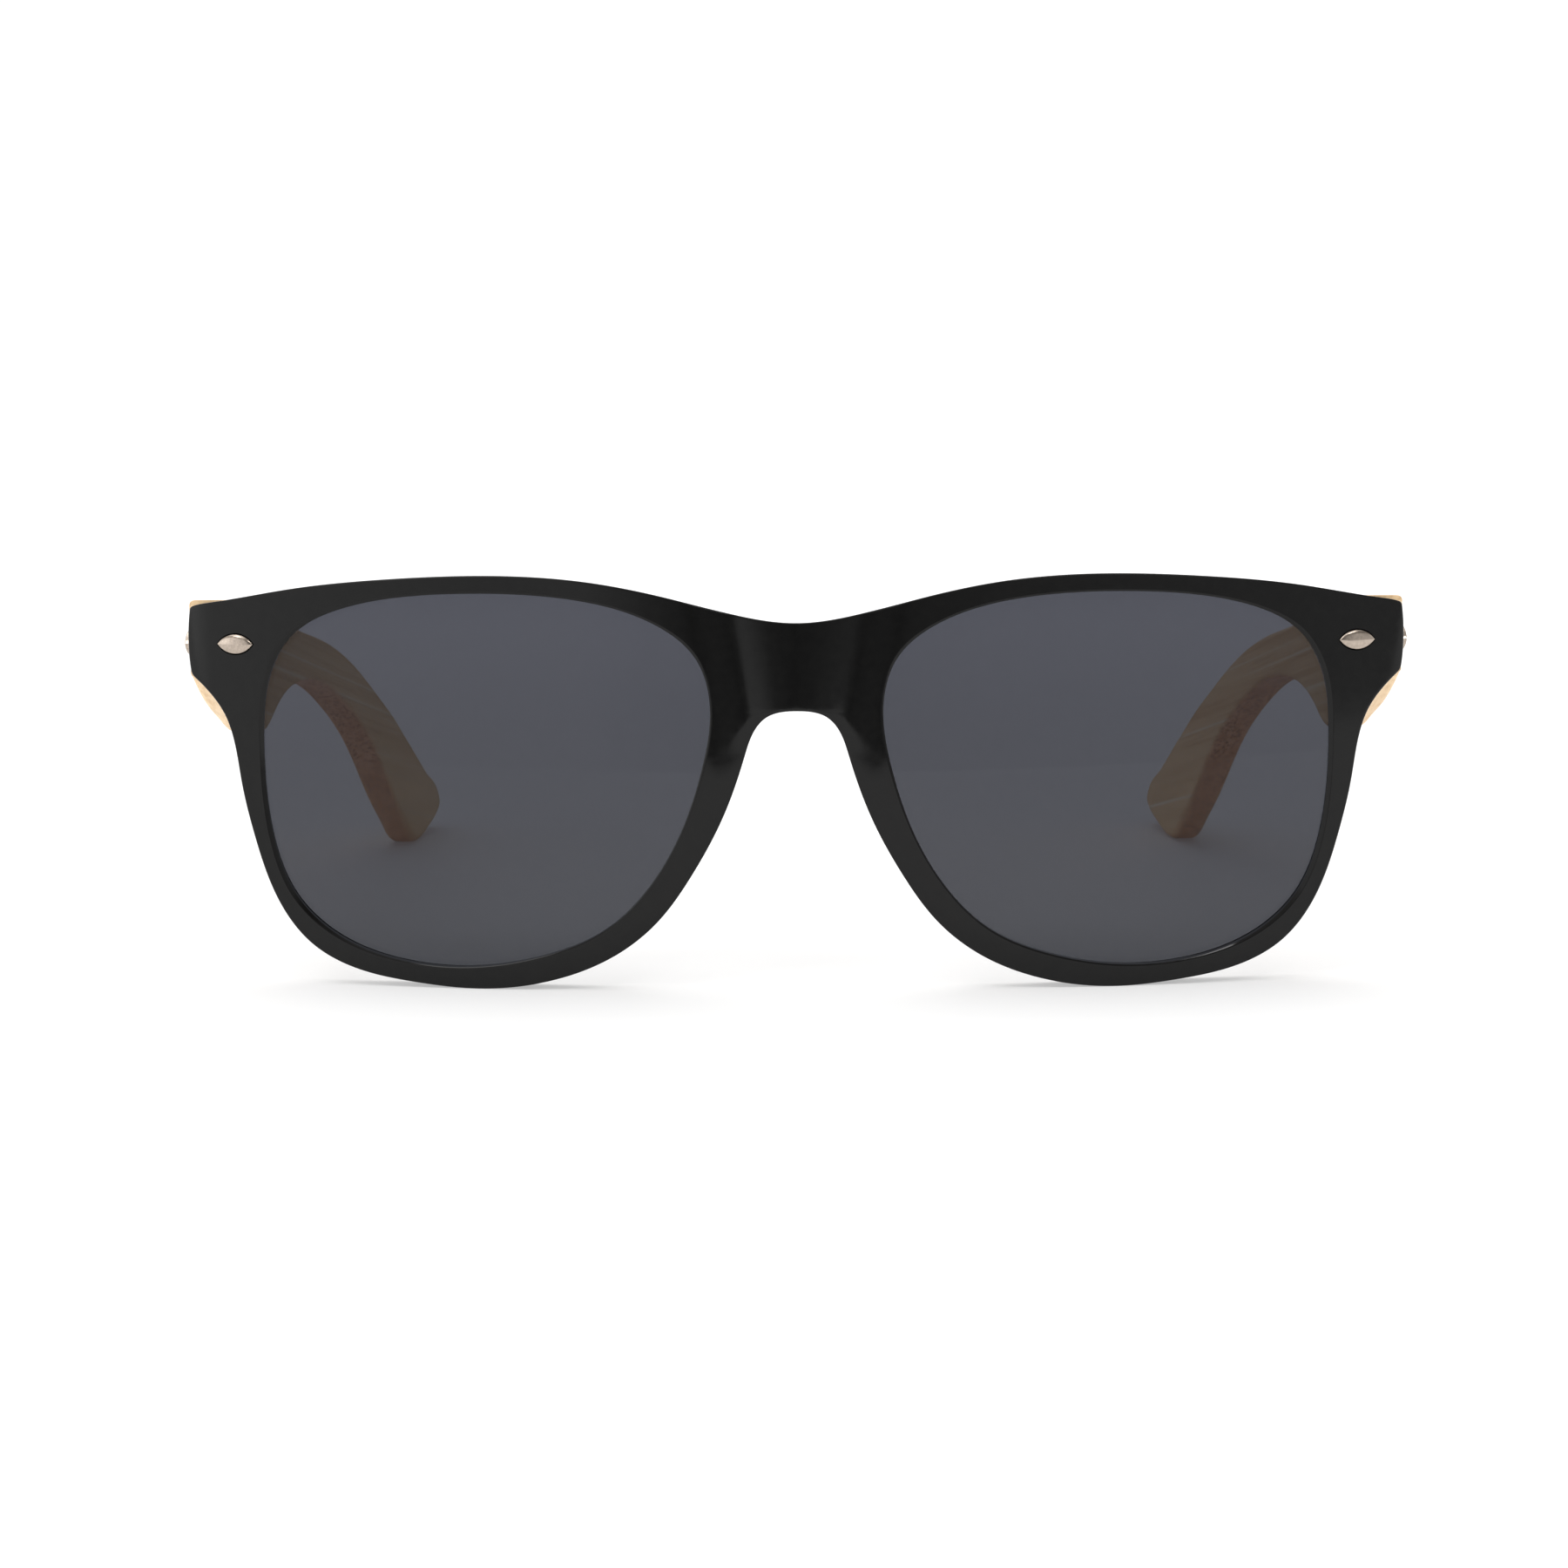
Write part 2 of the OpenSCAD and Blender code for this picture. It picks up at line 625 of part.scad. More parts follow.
module hinge_screw(side) {
    slot_w = 0.35;
    color("#a8abb0")
        on_side(side)
            translate([axis_x, axis_y, hinge_low])
                difference() {
                    union() {
                        cylinder(h = hinge_h, d = screw_d);
                        translate([0, 0, hinge_h - knuckle_gap / 2])
                            cylinder(h = screw_head_h, d = screw_head_d);
                    }
                    translate([-screw_head_d, -slot_w / 2, hinge_h - knuckle_gap / 2 + screw_head_h / 2])
                        cube([2 * screw_head_d, slot_w, screw_head_h]);
                }
}

// Triangles between the upper and the lower edge, taken in turn from the front end to the tip
function strips(up, low) =
    up >= temple_tip && low <= temple_tip + 1 ? [] :
    low <= temple_tip + 1 || (up < temple_tip && temple_outline[up + 1][0] <= temple_outline[low - 1][0])
        ? concat([[up, up + 1, low]], strips(up + 1, low))
        : concat([[up, low - 1, low]], strips(up, low - 1));

// A flat bamboo board cut to the side outline, its long edges rounded, its front end left square
module temple_board() {
    edge_steps = 2;
    n = temple_n;
    outs = [
        for (k = [0 : n - 1])
            turn_left(temple_outline[min(n - 1, k + 1)] - temple_outline[max(0, k - 1)])
    ];
    rounding = [
        for (p = temple_outline)
            mix(temple_edge, tip_edge, ease((p[0] - temple_l + 40) / 16) * ease((temple_l - 2 - p[0]) / 9))
    ];
    // Shares of the rounding that a level is drawn in by and lies from its face, and the face's own level
    arc = [for (k = [0 : edge_steps]) let (a = 90 * k / edge_steps) [1 - sin(a), 1 - cos(a), 0]];
    levels = concat(arc, [for (k = [edge_steps : -1 : 0]) [arc[k][0], -arc[k][1], temple_t]]);
    cap = strips(0, n - 1);
    points = [
        for (s = levels) for (k = [0 : n - 1])
            let (
                q = temple_outline[k] - outs[k] * s[0] * rounding[k],
                y = k == 0 || k == n - 1 ? 0 : q[0]
            )
            [inner_x + s[2] + s[1] * rounding[k] - y * tan(toe_in), butt_y + y, q[1]]
    ];
    top = (len(levels) - 1) * n;
    polyhedron(points, concat(
        [for (t = cap) [t[2], t[1], t[0]]],
        [for (s = [0 : len(levels) - 2]) for (k = [0 : n - 1])
            let (a = s * n + k, b = s * n + (k + 1) % n) each [[a, b, a + n], [b, b + n, a + n]]],
        [for (t = cap) [top + t[0], top + t[1], top + t[2]]]
    ));
}

// Places of the two leaf screws along the leaf
module at_leaf_screw(k) {
    at_hinge()
        translate([reach, leaf_screw_at + k * leaf_screw_pitch, 0])
            rotate([0, 90, 0])
                children();
}

module temple(side) {
    color("#e3c690")
        on_side(side)
            difference() {
                temple_board();
                at_temple_trim()
                    trim_recess(stud_l, stud_h, stud_sink, seat_gap);
                for (k = [0, 1])
                    at_leaf_screw(k)
                        translate([0, 0, -1])
                            cylinder(h = leaf_screw_l + seat_gap + 1, d = leaf_screw_d + 2 * seat_gap);
            }
}

module temple_hinge(side) {
    color("#b9bcc0")
        on_side(side)
            at_hinge()
                difference() {
                    union() {
                        translate([reach - leaf_t, reach, -leaf_h / 2])
                            cube([leaf_t, leaf_l - reach, leaf_h]);
                        barrel_slices(1) {
                            cylinder(h = knuckle_h, d = barrel_d);
                            cube([reach, reach + leaf_t / 2, knuckle_h]);
                        }
                    }
                    translate([0, 0, -hinge_h])
                        cylinder(h = 2 * hinge_h, d = screw_d + 2 * pin_gap);
                    for (k = [0, 1])
                        translate([0, leaf_screw_at + k * leaf_screw_pitch, 0])
                            rotate([0, 90, 0])
                                cylinder(h = 2 * reach, d = leaf_screw_d + 2 * seat_gap);
                }
}

module leaf_screw(side, k) {
    slot_w = 0.3;
    color("#a8abb0")
        on_side(side)
            at_leaf_screw(k)
                difference() {
                    union() {
                        translate([0, 0, -leaf_t])
                            cylinder(h = leaf_t + leaf_screw_l, d = leaf_screw_d);
                        translate([0, 0, -leaf_t - leaf_head_h])
                            cylinder(h = leaf_head_h, d = leaf_head_d);
                    }
                    translate([-slot_w / 2, -leaf_head_d, -leaf_t - 1.5 * leaf_head_h])
                        cube([slot_w, 2 * leaf_head_d, leaf_head_h]);
                }
}

front_frame();
lens(RIGHT);  // right_lens
lens(LEFT);  // left_lens
front_trim(RIGHT);  // right_front_trim
front_trim(LEFT);  // left_front_trim
front_hinge(RIGHT);  // right_front_hinge
front_hinge(LEFT);  // left_front_hinge
hinge_screw(RIGHT);  // right_hinge_screw
hinge_screw(LEFT);  // left_hinge_screw
temple(RIGHT);  // right_temple
temple(LEFT);  // left_temple
temple_trim(RIGHT);  // right_temple_trim
temple_trim(LEFT);  // left_temple_trim
temple_hinge(RIGHT);  // right_temple_hinge
temple_hinge(LEFT);  // left_temple_hinge
leaf_screw(RIGHT, 0);  // right_leaf_screw_front
leaf_screw(LEFT, 0);  // left_leaf_screw_front
leaf_screw(RIGHT, 1);  // right_leaf_screw_rear
leaf_screw(LEFT, 1);  // left_leaf_screw_rear
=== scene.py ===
import math

import bpy
import numpy as np
from mathutils import Matrix, Vector


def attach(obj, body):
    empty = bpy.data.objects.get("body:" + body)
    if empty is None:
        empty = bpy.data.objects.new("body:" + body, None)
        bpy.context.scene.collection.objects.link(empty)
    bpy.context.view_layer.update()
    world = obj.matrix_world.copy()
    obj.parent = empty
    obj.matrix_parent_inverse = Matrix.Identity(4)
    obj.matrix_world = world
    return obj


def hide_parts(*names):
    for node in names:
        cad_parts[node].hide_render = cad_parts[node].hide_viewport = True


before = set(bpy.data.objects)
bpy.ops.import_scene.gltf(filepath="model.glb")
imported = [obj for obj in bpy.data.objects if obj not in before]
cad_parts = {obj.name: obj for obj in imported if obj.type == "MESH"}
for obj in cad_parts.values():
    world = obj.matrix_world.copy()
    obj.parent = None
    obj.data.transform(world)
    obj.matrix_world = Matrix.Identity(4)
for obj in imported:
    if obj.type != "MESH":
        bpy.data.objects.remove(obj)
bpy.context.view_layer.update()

# Sizes of the sunglasses in millimetres, laid out from the face of the bridge as in the part's source
LENS_W, LENS_H, BRIDGE_W = 53.2, 44.2, 20.2
END_W, END_H, END_DROP, END_ROLL, END_FALL = 9.2, 8.7, 6.15, 2.8, 0.4
RIM_TOP, RIM_BOTTOM, RIM_SIDE, RIM_NOSE, ARCH_WALL = 2.1, 2.6, 3.0, 3.9, 5.2
BRIDGE_DROP, BRIDGE_H = 5.5, 10.3
FRONT_RADIUS, FRONT_T, EDGE_R, BACK_R = 270.0, 4.2, 0.2, 0.4
# The bevel round a lens: its width, and at the temple's side, its slope, and how softly it meets the face
BEVEL_W, BEVEL_SIDE, BEVEL_SLOPE, BEVEL_SOFT = 0.13, 0.5, math.radians(32), 0.02
# Places of the points across the bevel and just past it, in widths of the bevel
BEVEL_STOPS = (0.2, 0.55, 0.85, 0.95, 1.0, 1.05, 1.15, 1.3)
# How much wider than in front the opening is behind the lens, and at the back
FLARE_LENS, FLARE_BACK = 0.32, 0.7
PAD_RISE, PAD_SPLAY, SEAT_RISE, BACK_LIP = 3.8, math.radians(28), 0.1, 0.6
# A nose pad's start under the bridge, its end as a share of the opening's half height under the middle, the shares
# of its height that it swells and fades over, and the wall that it leaves, in back roundings
PAD_FROM, PAD_TO, PAD_SWELL, PAD_FADE, PAD_WALL = 2, 0.8, 0.3, 0.45, 2.5
LENS_RADIUS, LENS_T, LENS_SIT, GROOVE, LENS_GAP = 220.0, 1.8, 0.3, 0.8, 0.05
TRIM_L, TRIM_H, TRIM_RISE, TRIM_SINK, TRIM_GAP = 4.5, 2.35, 0.45, 0.7, 0.08
# A front trim's way in from the hinge's axis and down from the end's middle, and the flare of its recess
TRIM_IN, TRIM_DROP, TRIM_FLARE = 0.24, 0.05, 0.05
STUD_L, STUD_H, STUD_RISE, STUD_WALL, STUD_SINK, STUD_AT, STUD_DROP = 5.0, 3.1, 1.2, 0.84, 0.3, 2.9, 0.5
BARREL_D, BARREL_GAP, HINGE_H, LEAF_T, SEAT_GAP, SEAT_MARGIN = 2.8, 0.25, 6.2, 1.0, 0.02, 0.8
# The block behind an end piece: depth, rounding, the leaf's margin beside the barrel, and its outlines' powers
BLOCK_DEPTH, BLOCK_R, LEAF_MARGIN, BLOCK_POWER, POCKET_POWER = 2.6, 0.3, 0.2, 10, 60
TEMPLE_L, TEMPLE_T, TEMPLE_EDGE, TIP_EDGE = 134.8, 4.4, 0.6, 1.3
# Distances from a temple's end where the tip's larger rounding comes in and goes out, each with its run
TIP_FROM, TIP_RUN, TIP_TO, TIP_FADE = 40, 16, 2, 9
# Where the cut edges turn from their painted light in front to their painted shade behind, and the share of that
# painted tone on edges that face up
REAR_FROM, REAR_RUN, UPPER_SHARE = 20, 14, 0.15
GRAIN = math.radians(-10.4)
TOE_IN, TEMPLE_STEP, BUTT_GAP = math.radians(4.75), 0.5, 0.2
ROOT_H, BULGE_AT, BULGE_H, WAIST_H, TIP_H = 9.3, 18.6, 15.2, 6.1, 13.0
# Depth that the face rolls back by at the nose edges, from a height over the arch, with its run down from there,
# and how far inside the lens's middle it ends
NOSE_FALL, NOSE_FROM, NOSE_RUN, NOSE_IN = 0.12, 1, 6, 6
# How far the upper wall leans in towards the back, and how much it faces up where that starts, with its run
DRAFT, DRAFT_FROM, DRAFT_RUN = 0.45, 0.2, 0.5
# The bridge's saddle: half width at the top and at the arch, depth of the valley beside it, how far that fades out,
# how softly the two meet, its start under the arch, and the shares that its half width is held between
SADDLE_TOP, SADDLE_LOW, SADDLE_DEPTH, SADDLE_FADE = 7.2, 5.2, 0.4, 6.0
SADDLE_SOFT, SADDLE_UNDER, SADDLE_SHARES = 0.06, 2, (-0.5, 1.3)
# Points along half the front's outline, up the bridge's middle, round a seat block and a temple, and along an eye's arc
FRONT_POINTS, MIDDLE_POINTS, BLOCK_POINTS, TEMPLE_POINTS, EYE_POINTS = 560, 22, 96, 640, 40
# Faces that meet at more than this angle keep a crease
CREASE = math.radians(35)
SIDES = {"left": 1.0, "right": -1.0}


def bow(x):
    """Depth of the front's face, an upright cylinder of FRONT_RADIUS, at a distance x from the middle."""
    return FRONT_RADIUS - np.sqrt(FRONT_RADIUS**2 - np.asarray(x) ** 2)


LENS_IN = BRIDGE_W / 2
LENS_OUT = LENS_IN + LENS_W
LENS_MID = np.array([LENS_IN + LENS_W / 2, RIM_BOTTOM + LENS_H / 2])
LENS_TOP = RIM_BOTTOM + LENS_H
BROW_TOP = LENS_TOP + RIM_TOP
BRIDGE_TOP = BROW_TOP - BRIDGE_DROP
BRIDGE_LOW = BRIDGE_TOP - BRIDGE_H
HALF_W = LENS_OUT + END_W
SIDE_X = LENS_OUT + RIM_SIDE
END_Z = LENS_TOP - END_DROP
END_TOP, END_LOW = END_Z + END_H / 2, END_Z - END_H / 2
ARCH_X = LENS_IN - ARCH_WALL
SEAT_Y = float(bow(HALF_W)) + FRONT_T + SEAT_RISE
BUTT_Y = SEAT_Y + BUTT_GAP
INNER_X = HALF_W + TEMPLE_STEP - TEMPLE_T
REACH = BARREL_D / 2 + BARREL_GAP
AXIS_Y = SEAT_Y + REACH
AXIS_X = INNER_X - (AXIS_Y - BUTT_Y) * math.tan(TOE_IN) - REACH / math.cos(TOE_IN)
DEPTH = BUTT_Y + TEMPLE_L


def mix(a, b, t):
    return a + (b - a) * t


def ease(t):
    """Smooth step: 0 below 0, 1 above 1, and 3t^2 - 2t^3 between."""
    t = np.clip(t, 0.0, 1.0)
    return t * t * (3 - 2 * t)


def unit(v):
    return v / np.linalg.norm(v, axis=-1, keepdims=True)


def outward(tangent):
    """The direction on the left of a tangent, which points out of a line that runs clockwise."""
    return unit(np.stack([-tangent[..., 1], tangent[..., 0]], -1))


def curve(points, first, last, per_span=48):
    """Smooth line through points: cubic pieces on the chord lengths, whose curvature runs on from one to the next.
    The tangents m solve h[i]*m[i-1] + 2*(h[i-1]+h[i])*m[i] + h[i-1]*m[i+1] = 3*(h[i]*d[i-1] + h[i-1]*d[i])."""
    p = np.asarray(points, float)
    n = len(p)
    h = np.linalg.norm(np.diff(p, axis=0), axis=1)
    d = np.diff(p, axis=0) / h[:, None]
    system = np.zeros((n, n))
    right = np.zeros((n, 2))
    system[0, 0] = system[-1, -1] = 1
    right[0], right[-1] = first, last
    i = np.arange(1, n - 1)
    system[i, i - 1] = h[i]
    system[i, i] = 2 * (h[i - 1] + h[i])
    system[i, i + 1] = h[i - 1]
    right[i] = 3 * (h[i][:, None] * d[i - 1] + h[i - 1][:, None] * d[i])
    m = np.linalg.solve(system, right)
    t = (np.arange(per_span) / per_span)[None, :, None]
    a, b, ma, mb, hh = p[:-1, None], p[1:, None], m[:-1, None], m[1:, None], h[:, None, None]
    spans = (
        (2 * t**3 - 3 * t**2 + 1) * a
        + (t**3 - 2 * t**2 + t) * hh * ma
        + (3 * t**2 - 2 * t**3) * b
        + (t**3 - t**2) * hh * mb
    )
    return np.concatenate([spans.reshape(-1, 2), p[-1:]])


def respaced(line, count, bend_weight=1.2):
    """count points along a line, evenly spaced but closer together where it bends."""
    step = np.linalg.norm(np.diff(line, axis=0), axis=1)
    heading = np.unwrap(np.arctan2(*np.diff(line, axis=0).T))
    turn = np.abs(np.gradient(heading)) / step
    run = np.concatenate([[0], np.cumsum(step * (1 + bend_weight * turn))])
    at = np.linspace(0, run[-1], count)
    return np.stack([np.interp(at, run, line[:, k]) for k in (0, 1)], 1)


def clockwise(v):
    """Angle of v round the lens's middle, clockwise from the top, in radians."""
    return np.arctan2(v[..., 0], v[..., 1])


# The lens opening, in half widths and half heights from its middle, clockwise from the top
OPENING = np.array([
    [0, 1], [0.34, 0.982], [0.64, 0.912], [0.86, 0.77], [0.972, 0.533], [1, 0.25],
    [0.995, -0.05], [0.96, -0.345], [0.867, -0.628], [0.677, -0.844], [0.38, -0.975],
    [0.06, -1], [-0.26, -0.933], [-0.518, -0.8], [-0.733, -0.547], [-0.878, -0.237],
    [-0.965, 0.086], [-1, 0.38], [-0.937, 0.66], [-0.745, 0.847], [-0.4, 0.968], [0, 1],
])
opening_line = curve(OPENING * [LENS_W / 2, LENS_H / 2], [1, 0], [1, 0])
opening_angle = np.unwrap(clockwise(opening_line))
opening_reach = np.linalg.norm(opening_line, axis=1)


def opening(angle):
    """Points of the lens opening at angles round its middle."""
    r = np.interp(np.mod(angle, 2 * np.pi), opening_angle, opening_reach)
    return LENS_MID + r[..., None] * np.stack([np.sin(angle), np.cos(angle)], -1)


def rim(u, v, wall, a, b):
    """A place on the lens opening, moved out by shares of the rim's walls."""
    return [LENS_MID[0] + u * LENS_W / 2 + wall * a, LENS_MID[1] + v * LENS_H / 2 - RIM_BOTTOM * b]


# Outline of the left half of the front, clockwise from the middle of the bridge's upper edge
OUTLINE = [
    [0, BRIDGE_TOP],
    [0.7 * LENS_IN, BRIDGE_TOP + 0.17 * BRIDGE_DROP],
    [LENS_IN + 4.4, BRIDGE_TOP + 0.51 * BRIDGE_DROP],
    [LENS_MID[0] - 0.48 * LENS_W / 2, BROW_TOP - 0.8],
    [LENS_MID[0], BROW_TOP],
    [LENS_MID[0] + 0.42 * LENS_W / 2, mix(BROW_TOP, END_TOP, 0.115)],
    [LENS_MID[0] + 0.87 * LENS_W / 2, mix(BROW_TOP, END_TOP, 0.44)],
    [HALF_W - 3, END_TOP + 0.52],
    [HALF_W - 0.85, END_TOP + 0.09],
    [HALF_W - 0.4, END_TOP - 0.15],
    [HALF_W - 0.24, END_TOP - 0.65],
    [HALF_W, END_Z],
    [HALF_W - 0.2, END_LOW + 1.4],
    [HALF_W - 0.42, END_LOW + 0.6],
    [HALF_W - 1.05, END_LOW - 0.05],
    [HALF_W - 2.45, END_LOW - 1.4],
    [mix(SIDE_X, HALF_W, 0.3), END_LOW - 4],
    [mix(SIDE_X, HALF_W, 0.115), END_LOW - 7.3],
    rim(0.995, -0.036, RIM_SIDE, 1, 0),
    rim(0.957, -0.31, RIM_SIDE, 0.84, 0.13),
    rim(0.868, -0.6, RIM_SIDE, 0.757, 0.45),
    rim(0.715, -0.8, RIM_SIDE, 0.754, 0.79),
    rim(0.52, -0.925, RIM_SIDE, 0.61, 0.86),
    rim(0.3, -0.985, RIM_SIDE, 0.25, 0.89),
    rim(0.04, -1, RIM_SIDE, 0, 1),
    rim(-0.22, -0.945, RIM_NOSE, -0.26, 1.12),
    rim(-0.47, -0.85, RIM_NOSE, -0.67, 0.7),
    rim(-0.66, -0.66, RIM_NOSE, -0.7, 0.73),
    rim(-0.8, -0.445, RIM_NOSE, -0.75, 0.51),
    rim(-0.925, -0.1, RIM_NOSE, -0.91, 0.62),
    [LENS_IN - 0.77 * ARCH_WALL, BRIDGE_LOW - 5.35],
    [ARCH_X, BRIDGE_LOW - 2.25],
    [0.72 * ARCH_X, BRIDGE_LOW - 0.75],
    [0.4 * ARCH_X, BRIDGE_LOW - 0.15],
    [0, BRIDGE_LOW],
]

# The lens's two faces are balls about one middle
LEAN = math.asin(LENS_MID[0] / FRONT_RADIUS)
BALL = np.array([
    LENS_MID[0] - LENS_RADIUS * math.sin(LEAN),
    float(bow(LENS_MID[0])) + LENS_SIT + LENS_RADIUS * math.cos(LEAN),
    LENS_MID[1],
])


def lens_depth(p, radius):
    """Depth of a ball of that radius, about the lens's middle of curvature, at places p across the front."""
    dx, dz = p[..., 0] - BALL[0], p[..., 1] - BALL[2]
    return BALL[1] - np.sqrt(radius**2 - dx * dx - dz * dz)


# Side outline of a temple: back along the upper edge, round the tip, and forward along the lower edge
ROOT_TOP = END_Z + 0.15 + ROOT_H / 2
ROOT_LOW = ROOT_TOP - ROOT_H
BULGE_LOW, WAIST_LOW = ROOT_TOP - 2.55 - BULGE_H, ROOT_TOP - 7.35 - WAIST_H
TEMPLE = [
    [0, ROOT_TOP],
    [10, ROOT_TOP - 0.95],
    [24, ROOT_TOP - 3.55],
    [39, ROOT_TOP - 6.45],
    [54, ROOT_TOP - 9.05],
    [TEMPLE_L - 62.2, ROOT_TOP - 13.95],
    [TEMPLE_L - 46.4, 0.355 * ROOT_TOP + 0.74 * TIP_H],
    [TEMPLE_L - 23.4, TIP_H + 3.6],
    [TEMPLE_L - 6.8, TIP_H - 3.9],
    [TEMPLE_L - 0.9, TIP_H - 7.4],
    [TEMPLE_L, TIP_H - 8.8],
    [TEMPLE_L - 2.6, 2.5],
    [TEMPLE_L - 9.5, 0.75],
    [TEMPLE_L - 17.5, 0],
    [TEMPLE_L - 22, 0.9],
    [TEMPLE_L - 26.4, 3.3],
    [TEMPLE_L - 33, 0.16 * ROOT_TOP],
    [TEMPLE_L - 50.8, 0.412 * ROOT_TOP],
    [TEMPLE_L - 67, ROOT_TOP - 19.45],
    [54, WAIST_LOW - 1.7],
    [42, WAIST_LOW],
    [BULGE_AT + 12.2, mix(BULGE_LOW, WAIST_LOW, 0.87)],
    [BULGE_AT + 5.6, mix(BULGE_LOW, WAIST_LOW, 0.42)],
    [BULGE_AT, BULGE_LOW],
    [0.67 * BULGE_AT, mix(BULGE_LOW, ROOT_LOW, 0.22)],
    [0.4 * BULGE_AT, mix(BULGE_LOW, ROOT_LOW, 0.46)],
    [0.19 * BULGE_AT, mix(BULGE_LOW, ROOT_LOW, 0.71)],
    [0, ROOT_LOW],
]


def to_row(v):
    """Millimetres from the face of the bridge, as metres in the part's frame."""
    return (np.asarray(v, float) - [0, DEPTH / 2, 0]) * 0.001


def mirrored(v):
    return v * [-1, 1, 1]


def ring_quads(rings, around, close_rings=False):
    """Quads between rings of points that are each closed, numbered ring by ring."""
    last = rings if close_rings else rings - 1
    r, k = np.meshgrid(np.arange(last), np.arange(around), indexing="ij")
    nr, nk = (r + 1) % rings, (k + 1) % around
    return np.stack([r * around + k, r * around + nk, nr * around + nk, nr * around + k], -1).reshape(-1, 4)


def fan(pole, ring):
    """Triangles from one point to a closed ring of points."""
    return np.stack([np.full(len(ring), pole), np.roll(ring, -1), ring], -1)


def make_mesh(name, verts, faces):
    """A smooth mesh of points in millimetres, creased where its faces meet at an angle."""
    mesh = bpy.data.meshes.new(name)
    used, inverse = np.unique(np.concatenate([np.ravel(f) for f in faces]), return_inverse=True)
    rows, start = [], 0
    for f in faces:
        f = np.asarray(f)
        rows += inverse[start:start + f.size].reshape(f.shape).tolist()
        start += f.size
    mesh.from_pydata(to_row(verts)[used].tolist(), [], rows)
    mesh.validate()
    mesh.shade_smooth()
    mesh.set_sharp_from_angle(angle=CREASE)
    return mesh


def add_piece(name, shape, body, nodes, material):
    """A finished piece of points and faces, at the origin, that rides on a body and stands for CAD nodes."""
    mesh = make_mesh(name, *shape)
    obj = bpy.data.objects.new(name, mesh)
    bpy.context.scene.collection.objects.link(obj)
    mesh.materials.append(material)
    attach(obj, body)
    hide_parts(*nodes)
    return obj


def eye_line(length, height, count):
    """The eye shape: two equal arcs from point to point, clockwise from the left-hand point."""
    r = (length**2 + height**2) / (4 * height)
    a = math.asin(length / (2 * r))
    t = mix(-a, a, np.arange(count) / count)
    top = np.stack([r * np.sin(t), r * np.cos(t) - r + height / 2], 1)
    return np.concatenate([top, -top])


def set_back(places):
    """Depth of the front's face behind its bow. At the ends it rolls back with the square of the way out.
    The bridge is a saddle: a shallow arc across the middle that falls to a valley on each side, from which the
    face rises again. The lesser of arc a and rise b is (a + b - sqrt((a - b)^2 + soft^2)) / 2, and level brings
    that to 0 in the middle."""
    x, z = np.abs(places[:, 0]), places[:, 1]
    roll = END_FALL * np.clip((x - HALF_W + END_ROLL) / END_ROLL, 0, 1) ** 2
    up = np.clip((z - BRIDGE_LOW + SADDLE_UNDER) / (BRIDGE_H + SADDLE_UNDER), *SADDLE_SHARES)
    half = mix(SADDLE_LOW, SADDLE_TOP, up)
    arc = SADDLE_DEPTH * (x / half) ** 2
    rise = SADDLE_DEPTH * (1 - ease((x - half) / SADDLE_FADE))
    level = math.hypot(SADDLE_DEPTH, SADDLE_SOFT) - SADDLE_DEPTH
    return roll + 0.5 * (arc + rise - np.hypot(arc - rise, SADDLE_SOFT) + level)


